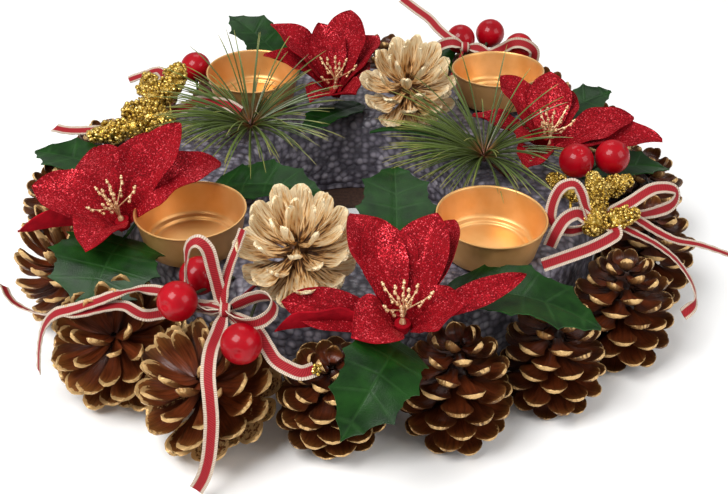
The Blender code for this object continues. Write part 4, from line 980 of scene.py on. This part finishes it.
BERRY = 7.5
BERRY_PROFILE = [(0, -BERRY)]
for k in range(1, 22):
    angle = math.pi * k / 24
    BERRY_PROFILE.append((BERRY * math.sin(angle), -BERRY * math.cos(angle)))
BERRY_PROFILE += [(1.9, 7.15), (1.2, 6.8), (0.6, 6.5), (0, 6.4)]
for place_name, (foot, centres) in BERRIES.items():
    points, faces, skins = [], [], []
    for centre in centres:
        middle, end = at(*centre), at(*foot, WIRE_END)
        away = (middle - end).normalized()
        # The dimple left by the dipping hook looks away from the wire
        turn = away.to_track_quat("Z", "Y").to_matrix().to_4x4()
        ball, rings = turned(BERRY_PROFILE, 32, False)
        first = len(points)
        points.extend(middle + turn @ p for p in ball)
        faces.extend(tuple(first + k for k in ring) for ring in rings)
        skins += [0] * (len(faces) - len(skins))
        start = middle - away * 0.0068
        path = [start, start.lerp(end, 0.5) + Vector((0, 0, 0.0005)), end]
        tube(points, faces, path, [WIRE, 0.6, 0.6])
        skins += [1] * (len(faces) - len(skins))
    berries = new_piece("berry_pick_" + place_name, points, faces, lacquer, wrapped, skins=skins)
    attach(berries, "root")
    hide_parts("berries_" + place_name)

# ---------------------------------------------------------------------------------------
# Glitter picks: two wired sprigs whose lobes are crusted with gold glitter, coarse round
# beads on the left one and finer grains on the right one.

# Foot of the pick, size of its beads, and its lobes as (start, end, radius)
GLITTER_PICKS = {
    "left": (
        (-88, 28), 1.15,
        (
            ((-90, 18, 54), (-104, 20, 57), 8), ((-102, 12, 55), (-120, 8, 53), 5),
            ((-97, 30, 57), (-102, 48, 60), 6), ((-93, 38, 57), (-89, 58, 61), 5.5),
        ),
    ),
    "right": (
        (90, -38), 0.8,
        (
            ((94.5, -65, 55), (97, -42, 64), 5.5), ((92, -33, 51), (84, -19, 51), 4),
            ((101, -34, 54), (113, -28, 56), 4.5), ((101, -62, 57), (110, -58, 59), 4.5),
        ),
    ),
}

# Glitter beads, foil-coated plastic glued on: yellow gold, with painted glints and painted olive
# shade given to the facets at random
beads_gold, tree, shader = new_material("glitter_beads_glued", Metallic=0.8)
place = add(tree, "TexCoord").outputs["Object"]
# Facets of the foil, drawn at 0.7 mm
facets = add(tree, "TexVoronoi", {"Vector": place, "Scale": 1000 / 0.7})
parts = add(tree, "SeparateColor", {"Color": facets.outputs["Color"]})
# Painted light: each facet takes a random tone from olive shade to a pale gold glint
foil_and_painted_glints = add(
    tree, "ValToRGB", {"Fac": parts.outputs["Red"]},
    stops=((0.0, "86681c"), (0.5, "b49034"), (1.0, "e8cc7c")),
)
gloss = add(tree, "MapRange", {"Value": parts.outputs["Green"], "To Min": 0.22, "To Max": 0.5})
relief = add(
    tree, "Bump", {"Height": facets.outputs["Distance"], "Strength": 0.5, "Distance": 0.0003},
)
connect(tree, shader, {"Base Color": foil_and_painted_glints, "Roughness": gloss, "Normal": relief})

for place_name, (foot, grain_size, lobes) in GLITTER_PICKS.items():
    rng = random.Random("glitter " + place_name)
    points, faces = [], []
    for start, end, radius in lobes:
        near, far = at(*start), at(*end)
        axis = far - near
        one = axis.cross(Vector((0.2, 0.1, 1))).normalized()
        two = axis.cross(one).normalized()
        tube(points, faces, [near, far], [0.8 * radius, 0.7 * radius], 10)
        tube(points, faces, [near.lerp(far, 0.2), at(*foot, WIRE_END)], [WIRE] * 2)
        length = axis.length * 1000 + 1.2 * radius
        count = int(length * radius * 5.4 / (2 * grain_size) ** 2 * 1.5)
        for n in range(count):
            share = min(0.98, max(0.02, (n + 0.5 + rng.uniform(-7, 7)) / count))
            angle = n * GOLDEN_ANGLE + rng.uniform(-0.5, 0.5)
            girth = radius * math.sin(math.pi * (0.03 + 0.94 * share)) ** 0.5
            girth = girth * rng.uniform(0.9, 1.06) - 0.4 * grain_size
            out = (one * math.cos(angle) + two * math.sin(angle)) * girth / 1000
            along = near + axis.normalized() * (length * share - 0.5 * radius) / 1000
            clump = noise.noise((along + out) * 260) * 1.6 / 1000
            spot = along + out * (1 + clump / out.length)
            bead(points, faces, spot, grain_size * rng.uniform(0.65, 1.25))
    pick = new_piece("glitter_pick_" + place_name, points, faces, beads_gold)
    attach(pick, "root")
    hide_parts("glitter_" + place_name)

# ---------------------------------------------------------------------------------------
# Ribbon bows: four bows of 5.4 mm woven ribbon, red in the middle with cream gauze edges
# and a fine wire along each, tied in a knot and wired to the foam.
TO_VIEWER = (0, -0.83, 0.56)
UPWARD = (0, -0.4, 0.9)
# A loop that lies flat shows its outer side all round
OUTWARD = (0, 0, 0)
LOOP, TAIL = True, False
RIBBON_WIDTH = 5.4

# Knot, end of its tie wire, and strands as (kind, way the face looks at the start and at
# the end, points after the knot)
BOWS = {
    "front": (
        (-47, -123, 55), (-38, -91),
        (
            (LOOP, TO_VIEWER, TO_VIEWER,
             ((-49, -119, 57), (-51.5, -116, 67), (-53.5, -114, 75), (-57, -113, 78),
              (-60.5, -112, 75), (-62, -111, 68), (-62.5, -110, 59), (-61, -112, 52),
              (-54, -119, 51))),
            (TAIL, (-0.5, -0.7, 0.4), (-0.85, -0.5, 0.2),
             ((-48, -118, 59.5), (-46.5, -113, 65.5), (-44, -108, 71.5), (-41.5, -104, 77.5))),
            (LOOP, OUTWARD, OUTWARD,
             ((-45, -121, 55), (-41, -120.5, 57), (-36.5, -121, 59.5), (-32, -123.5, 62),
              (-29, -128, 62.5), (-29.5, -132.5, 61.5), (-33, -135.5, 60), (-38, -134.5, 58),
              (-43, -129, 55.5))),
            (TAIL, TO_VIEWER, TO_VIEWER,
             ((-43.5, -124, 52), (-37.5, -129, 53), (-34, -133, 52), (-31, -136, 48.5),
              (-28, -139, 45.5), (-23.5, -142, 44.5), (-18.5, -144, 44), (-14, -143, 45))),
            (TAIL, TO_VIEWER, (-0.2, -1, 0.3),
             ((-49, -130, 51), (-50.5, -141, 50.5), (-50.5, -150, 47), (-49.5, -155.5, 41.5),
              (-49, -158.5, 34), (-49.5, -160.5, 26), (-50.5, -162, 18.5), (-52.5, -163, 11),
              (-55.5, -163, 4.5))),
            (TAIL, UPWARD, (0.7, 0.2, 0.5),
             ((-54, -116, 50), (-62, -110, 46.5), (-70, -112, 45), (-78, -118, 47.8),
              (-86, -115.1, 49.8), (-96, -114.1, 47.4), (-106, -115.1, 45.4), (-117, -109, 40),
              (-127, -102, 37), (-134, -97, 38), (-138, -91, 40))),
            (TAIL, (0, 0.1, 1), (-0.9, -0.4, 0.2),
             ((-53, -115, 51), (-61, -109.5, 47.5), (-70, -107, 50), (-80, -105.4, 50.3),
              (-88, -111.4, 52.6), (-96, -112.5, 49.7), (-105, -114, 47), (-112, -115, 45),
              (-117, -114, 38), (-120, -114, 28), (-121, -116, 18))),
        ),
    ),
    "right": (
        (99, -57, 56), (83, -52),
        (
            (LOOP, TO_VIEWER, TO_VIEWER,
             ((94, -61, 58), (91, -60, 63), (89, -58, 68), (86, -57, 71.5), (81, -58, 70.5),
              (78, -60, 65), (77.5, -63, 58.5), (82, -65, 55), (89, -64, 54.5))),
            (TAIL, TO_VIEWER, TO_VIEWER,
             ((93, -62, 58), (88, -62, 61), (82.5, -65, 60), (79, -68, 55.5), (77, -69, 49.5))),
            (LOOP, TO_VIEWER, TO_VIEWER,
             ((109, -57, 63), (120, -50, 66), (130, -46, 63), (128, -50, 58), (114, -56, 57))),
            (TAIL, UPWARD, (0, 0.3, 1),
             ((108, -60, 59), (114, -59, 56), (121, -60, 52), (129, -62, 49), (139, -62, 47),
              (148, -64, 45), (153, -66, 44))),
            (TAIL, (0, 0, 1), (0.8, 0.1, 0.5),
             ((112, -64, 53), (121, -66, 49), (129, -70, 44), (135, -76, 37), (136, -80, 31),
              (131, -84, 28))),
            (TAIL, TO_VIEWER, TO_VIEWER,
             ((103, -67, 56), (100, -72, 56), (92, -75, 53), (82, -77.5, 50), (73, -81, 48.5))),
        ),
    ),
    "back": (
        (52, 99, 58), (44, 87),
        (
            (TAIL, (0, -0.6, 0.8), (0, -0.6, 0.8),
             ((45, 101, 61), (39, 111, 62), (34, 120, 64), (27, 128, 66), (20, 134, 69))),
            (TAIL, TO_VIEWER, TO_VIEWER,
             ((59, 98, 58), (64, 96, 56), (70, 97, 58), (76, 93.7, 63.2), (82, 92.7, 63.2),
              (87, 93.8, 58.8), (87, 95.6, 51.3))),
            (TAIL, TO_VIEWER, TO_VIEWER, ((46, 98, 61), (40, 99, 59), (37, 100, 55))),
        ),
    ),
    "left": (
        (-100, 40, 47), (-90, 36),
        (
            (TAIL, UPWARD, (0, -0.2, 1),
             ((-97, 50, 49), (-96, 59, 54), (-100, 66, 57), (-108, 67, 54), (-115, 65, 52))),
            (TAIL, UPWARD, (0, -0.2, 1),
             ((-107, 31, 47), (-115, 23, 48), (-125, 19, 49), (-135, 20, 48), (-143, 24, 47))),
            (TAIL, TO_VIEWER, TO_VIEWER,
             ((-86, 42, 49), (-78, 38, 55), (-70, 32, 58), (-62, 28, 59), (-56, 25, 57))),
        ),
    ),
}


def smooth_path(path, step):
    """Places about a step apart on a smooth curve through a path, with their shares."""
    places = []
    last = len(path) - 1
    for i in range(last):
        before, near, far, after = (path[max(0, min(last, i + k))] for k in (-1, 0, 1, 2))
        count = max(2, round((far - near).length / step))
        for k in range(count):
            t = k / count
            co = near * 2 + (far - before) * t + (before * 2 - near * 5 + far * 4 - after) * t**2
            co += (near * 3 - before - far * 3 + after) * t**3
            places.append((co / 2, (i + t) / last))
    places.append((path[-1], 1.0))
    return places


def strand(points, faces, traits, path, looped, start_face, end_face, seed):
    """A thin strap along a path, a little dished and pinched where it enters the knot."""
    places = smooth_path(path, 0.0012)
    middle = sum((co for co, share in places), Vector()) / len(places)
    last = len(places) - 1
    run = 0.0
    first = len(points)
    spots = (-1, -0.8, -0.45, 0, 0.45, 0.8, 1)
    for i, (co, share) in enumerate(places):
        ahead = (places[min(i + 1, last)][0] - places[max(i - 1, 0)][0]).normalized()
        run += (co - places[max(i - 1, 0)][0]).length * 1000
        face = Vector(start_face).lerp(Vector(end_face), share)
        if looped:
            face = face.normalized() + (co - middle).normalized()
        aside = ahead.cross(face).normalized()
        face = aside.cross(ahead).normalized()
        pinch = 0.45 + 0.55 * rise(run, 0.5, 6)
        if looped:
            pinch = min(pinch, 0.45 + 0.55 * rise((last - i) * 1.2, 0.5, 6))
        half = RIBBON_WIDTH / 2 * pinch
        for side, row in ((0.22, spots), (-0.22, spots[::-1])):
            for u in row:
                cup = 0.35 * u * u + 0.1 * math.sin(run * 1.3 + seed + 2 * u) * u * u
                points.append(co + aside * u * half / 1000 + face * (side + cup - 0.15) / 1000)
                traits["weave"].append((u, run, seed))
    loft(faces, first, len(places), 2 * len(spots))


# Ribbon of polyester twill with gauze edges, woven: matte red ribs in the middle, and a
# pale, slightly glinting mesh along each side
ribbon, tree, shader = new_material("twill_ribbon_woven", IOR=1.5, Specular_IOR_Level=0.25)
weave = add(tree, "Attribute", attribute_name="weave").outputs["Vector"]
parts = add(tree, "SeparateXYZ", {"Vector": weave})
off_middle = add(tree, "Math", {0: parts.outputs["X"]}, operation="ABSOLUTE")
is_edge = add(tree, "MapRange", {"Value": off_middle, "From Min": 0.52, "From Max": 0.66})
# Twill ribs slant across the ribbon. They are 0.3 mm in life and drawn 0.9 mm apart
slant = add(
    tree, "Math", {0: parts.outputs["X"], 1: 1.6, 2: parts.outputs["Y"]}, operation="MULTIPLY_ADD",
)
ribs = add(tree, "Math", {0: slant, 1: 0.45}, operation="PINGPONG")
rib_red = add(tree, "MapRange", {"Value": ribs, "From Max": 0.45})
red = add(
    tree, "ValToRGB", {"Fac": rib_red}, stops=((0.0, "760810"), (0.6, "90121c"), (1.0, "a0242a")),
)
# The gauze edge is cream with a warm thread every 0.7 mm
stitches = add(tree, "Math", {0: parts.outputs["Y"], 1: 0.35}, operation="PINGPONG")
stitch = add(tree, "MapRange", {"Value": stitches, "From Max": 0.35})
cream = add(
    tree, "ValToRGB", {"Fac": stitch}, stops=((0.0, "8a6a5a"), (0.3, "b3a08d"), (1.0, "cabcab")),
)
cloth = add(tree, "Mix", {"Factor": is_edge, "A": red, "B": cream}, data_type="RGBA")
dull = add(tree, "MapRange", {"Value": is_edge, "To Min": 0.7, "To Max": 0.45})
relief = add(tree, "Bump", {"Height": ribs, "Strength": 0.5, "Distance": 0.0003})
connect(tree, shader, {"Base Color": cloth, "Roughness": dull, "Normal": relief})

for place_name, (knot, tie_end, strands) in BOWS.items():
    points, faces = [], []
    traits = {"weave": []}
    middle = at(*knot)
    for k, (looped, start_face, end_face, places) in enumerate(strands):
        path = [middle] + [at(*co) for co in places]
        if looped:
            path.append(middle)
        strand(points, faces, traits, path, looped, start_face, end_face, 2.3 * k)
    # The knot is two turns of the ribbon round the crossing
    for turn, size in ((0.0, 2.8), (1.1, 2.5)):
        across = Vector((math.cos(turn), 0, math.sin(turn)))
        other = across.cross(Vector((0, -1, 0))).normalized()
        first = len(points)
        for i in range(25):
            angle = math.tau * i / 24
            out = other * math.cos(angle) + Vector((0, -1, 0)) * math.sin(angle)
            for u in (-1, -0.6, 0, 0.6, 1):
                points.append(middle + (across * u * 1.9 + out * (size - 0.5 * u * u)) / 1000)
                traits["weave"].append((u, angle * size, turn))
        for i in range(24):
            for k in range(4):
                a = first + 5 * i + k
                faces.append((a, a + 1, a + 6, a + 5))
    tube(points, faces, [middle, at(*tie_end, WIRE_END)], [WIRE] * 2)
    skins = [0] * len(faces)
    if place_name == "front":
        # A dab of gold glitter on the end of the right tail
        rng = random.Random(5)
        for k in range(16):
            spread = Vector((rng.uniform(-1, 1), rng.uniform(-1, 1), rng.uniform(-1, 1))) * 0.0014
            bead(points, faces, at(-13, -143.5, 45.5) + spread, rng.uniform(0.5, 0.9))
        skins += [1] * (len(faces) - len(skins))
    traits["weave"] += [(0.0, 0.2, 0.0)] * (len(points) - len(traits["weave"]))
    bow = new_piece(
        "ribbon_bow_" + place_name, points, faces, ribbon, beads_gold, traits=traits, skins=skins,
    )
    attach(bow, "root")
    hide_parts("bow_" + place_name)

# ---------------------------------------------------------------------------------------
# Pine sprays: two sprays of moulded soft plastic needles about 50 mm long, fanning out of
# a brown bud on a short stem that is stuck in the foam.
SPRAYS = {"left": ((-51, 22, 52), (-61, 26)), "right": ((55, -3, 53), (66, -6))}

# Polyethylene needles, drawn thin: dark green, waxy, lighter towards the tip
needle_green, tree, shader = new_material("polyethylene_needle_drawn", Roughness=0.42, IOR=1.51)
along, tone = (
    add(tree, "Attribute", attribute_name=name).outputs["Fac"] for name in ("along", "tone")
)
length_colour = add(
    tree, "ValToRGB", {"Fac": along},
    stops=((0.0, "7a4a28"), (0.15, "3e491c"), (0.75, "536527"), (1.0, "918a46")),
)
light = add(tree, "MapRange", {"Value": tone, "To Min": 0.6, "To Max": 1.3})
green = add(tree, "VectorMath", {0: length_colour, "Scale": light}, operation="SCALE")
connect(tree, shader, {"Base Color": green})

# The bud is the same plastic moulded in papery scales: dry red-brown
bud_brown, tree, shader = new_material("polyethylene_bud_moulded", Roughness=0.65, IOR=1.51)
place = add(tree, "TexCoord").outputs["Object"]
husks = add(tree, "TexVoronoi", {"Vector": place, "Scale": 1000 / 1.4})
husk = add(
    tree, "ValToRGB", {"Fac": husks.outputs["Distance"]}, stops=((0.1, "8a4a28"), (0.6, "3c1a0e")),
)
relief = add(
    tree, "Bump", {"Height": husks.outputs["Distance"], "Strength": 0.8, "Distance": -0.0006},
)
connect(tree, shader, {"Base Color": husk, "Normal": relief})

for place_name, (bud, foot) in SPRAYS.items():
    rng = random.Random("spray " + place_name)
    middle = at(*bud)
    points, faces = [], []
    bead(points, faces, middle, 2.9, 3)
    tube(points, faces, [middle, at(*foot, WIRE_END)], [1.3, 1.1], 10)
    skins = [1] * len(faces)
    traits = {"along": [0.0] * len(points), "tone": [0.5] * len(points)}
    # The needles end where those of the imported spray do
    corners = [vertex.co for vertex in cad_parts["pine_" + place_name].data.vertices]
    tips = []
    for co in corners:
        if (co - middle).length > 0.033 and all((co - tip).length > 0.0005 for tip in tips):
            tips.append(co.copy())
    # More lie out flat or hang over the hole in the ring, where nothing carries them
    for k in range(64):
        # Every third one is combed over to the left
        angle = k * GOLDEN_ANGLE if k % 3 else math.pi + rng.uniform(-0.75, 0.75)
        out = Vector((math.cos(angle), math.sin(angle), rng.uniform(-0.02, 0.25)))
        tips.append(middle + out.normalized() * rng.uniform(0.036, 0.050))
    for tip in tips:
        way = (tip - middle).normalized()
        for twin in range(2 if way.z < 0.5 else 1):
            start = middle + way * 0.0022
            end = tip if not twin else middle + (tip - middle) * rng.uniform(0.75, 0.97)
            if twin:
                end += Vector((rng.uniform(-1, 1), rng.uniform(-1, 1), rng.uniform(0, 1))) * 0.0025
            sag = Vector((0, 0, rng.uniform(0.05, 0.10))) * (end - start).length
            path, radii = [], []
            for k in range(9):
                t = k / 8
                path.append(start.lerp(end, t) + sag * 4 * t * (1 - t))
                radii.append(0.33 * (1 - t) ** 0.35 + 0.06)
            before = len(points)
            tube(points, faces, path, radii, 5)
            tone = rng.random()
            for k in range(9):
                traits["along"] += [k / 8] * 5
                traits["tone"] += [tone] * 5
            skins += [0] * (len(faces) - len(skins))
    spray = new_piece(
        "pine_spray_" + place_name, points, faces, needle_green, bud_brown, traits=traits,
        skins=skins,
    )
    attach(spray, "root")
    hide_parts("pine_" + place_name)

# ---------------------------------------------------------------------------------------
# The table, light and camera: a plain pale sheet, soft light from large lamps overhead,
# and a camera in front, looking down at the wreath at about 34 degrees.
floor_matte, tree, shader = new_material("paper_sheet_matte", Roughness=0.9, IOR=1.45)
place = add(tree, "TexCoord").outputs["Object"]
tooth = add(tree, "TexNoise", {"Vector": place, "Scale": 8.0, "Detail": 2.0})
pale = add(tree, "ValToRGB", {"Fac": tooth}, stops=((0.3, "f4f3f2"), (0.7, "f7f7f6")))
connect(tree, shader, {"Base Color": pale})
sheet = [RING_MIDDLE + Vector((x, y, -0.0001)) for x, y in ((-4, -4), (4, -4), (4, 4), (-4, 4))]
table_top = new_piece("table_top", sheet, [(0, 1, 2, 3)], floor_matte)

world = bpy.data.worlds.new("studio")
bpy.context.scene.world = world
world.use_nodes = True
world.node_tree.nodes["Background"].inputs["Color"].default_value = linear("ffffff")
world.node_tree.nodes["Background"].inputs["Strength"].default_value = 0.36

# Lamp places in metres, the sides of each panel, and its power in watts
LAMPS = {
    "key_overhead": ((-0.45, -0.45, 0.9), 0.6, 13.0),
    "fill_right": ((0.9, -0.5, 0.7), 0.7, 6.0),
    "back_strip": ((-0.05, 0.8, 1.1), 0.6, 3.0),
}
for name, (spot, size, power) in LAMPS.items():
    lamp = bpy.data.lights.new(name, "AREA")
    lamp.size = size
    lamp.energy = power
    stand = bpy.data.objects.new(name, lamp)
    stand.location = RING_MIDDLE + Vector(spot)
    aim = RING_MIDDLE + Vector((0, -0.02, 0.03)) - stand.location
    stand.rotation_euler = aim.to_track_quat("-Z", "Y").to_euler()
    bpy.context.scene.collection.objects.link(stand)

bpy.context.scene.view_settings.view_transform = "Standard"

# Distance from the point aimed at, in millimetres, and the lens
CAMERA_FAR, CAMERA_LENS = 460, 59.33
CAMERA_PITCH, CAMERA_ROLL = math.radians(34.3), math.radians(1.27)
AIM = (2.55, -87.9, 60)
look = Vector((0, math.cos(CAMERA_PITCH), -math.sin(CAMERA_PITCH)))
right = Vector((1, 0, 0))
up = right.cross(look)
turned_right = right * math.cos(CAMERA_ROLL) + up * math.sin(CAMERA_ROLL)
turned_up = up * math.cos(CAMERA_ROLL) - right * math.sin(CAMERA_ROLL)
lens = bpy.data.cameras.new("camera")
lens.lens = CAMERA_LENS
lens.sensor_width = 36
lens.clip_start, lens.clip_end = 0.01, 20
camera = bpy.data.objects.new("camera", lens)
spot = at(*AIM) - look * CAMERA_FAR / 1000
camera.matrix_world = Matrix((turned_right, turned_up, -look)).transposed().to_4x4()
camera.matrix_world.translation = spot
bpy.context.scene.collection.objects.link(camera)
bpy.context.scene.camera = camera
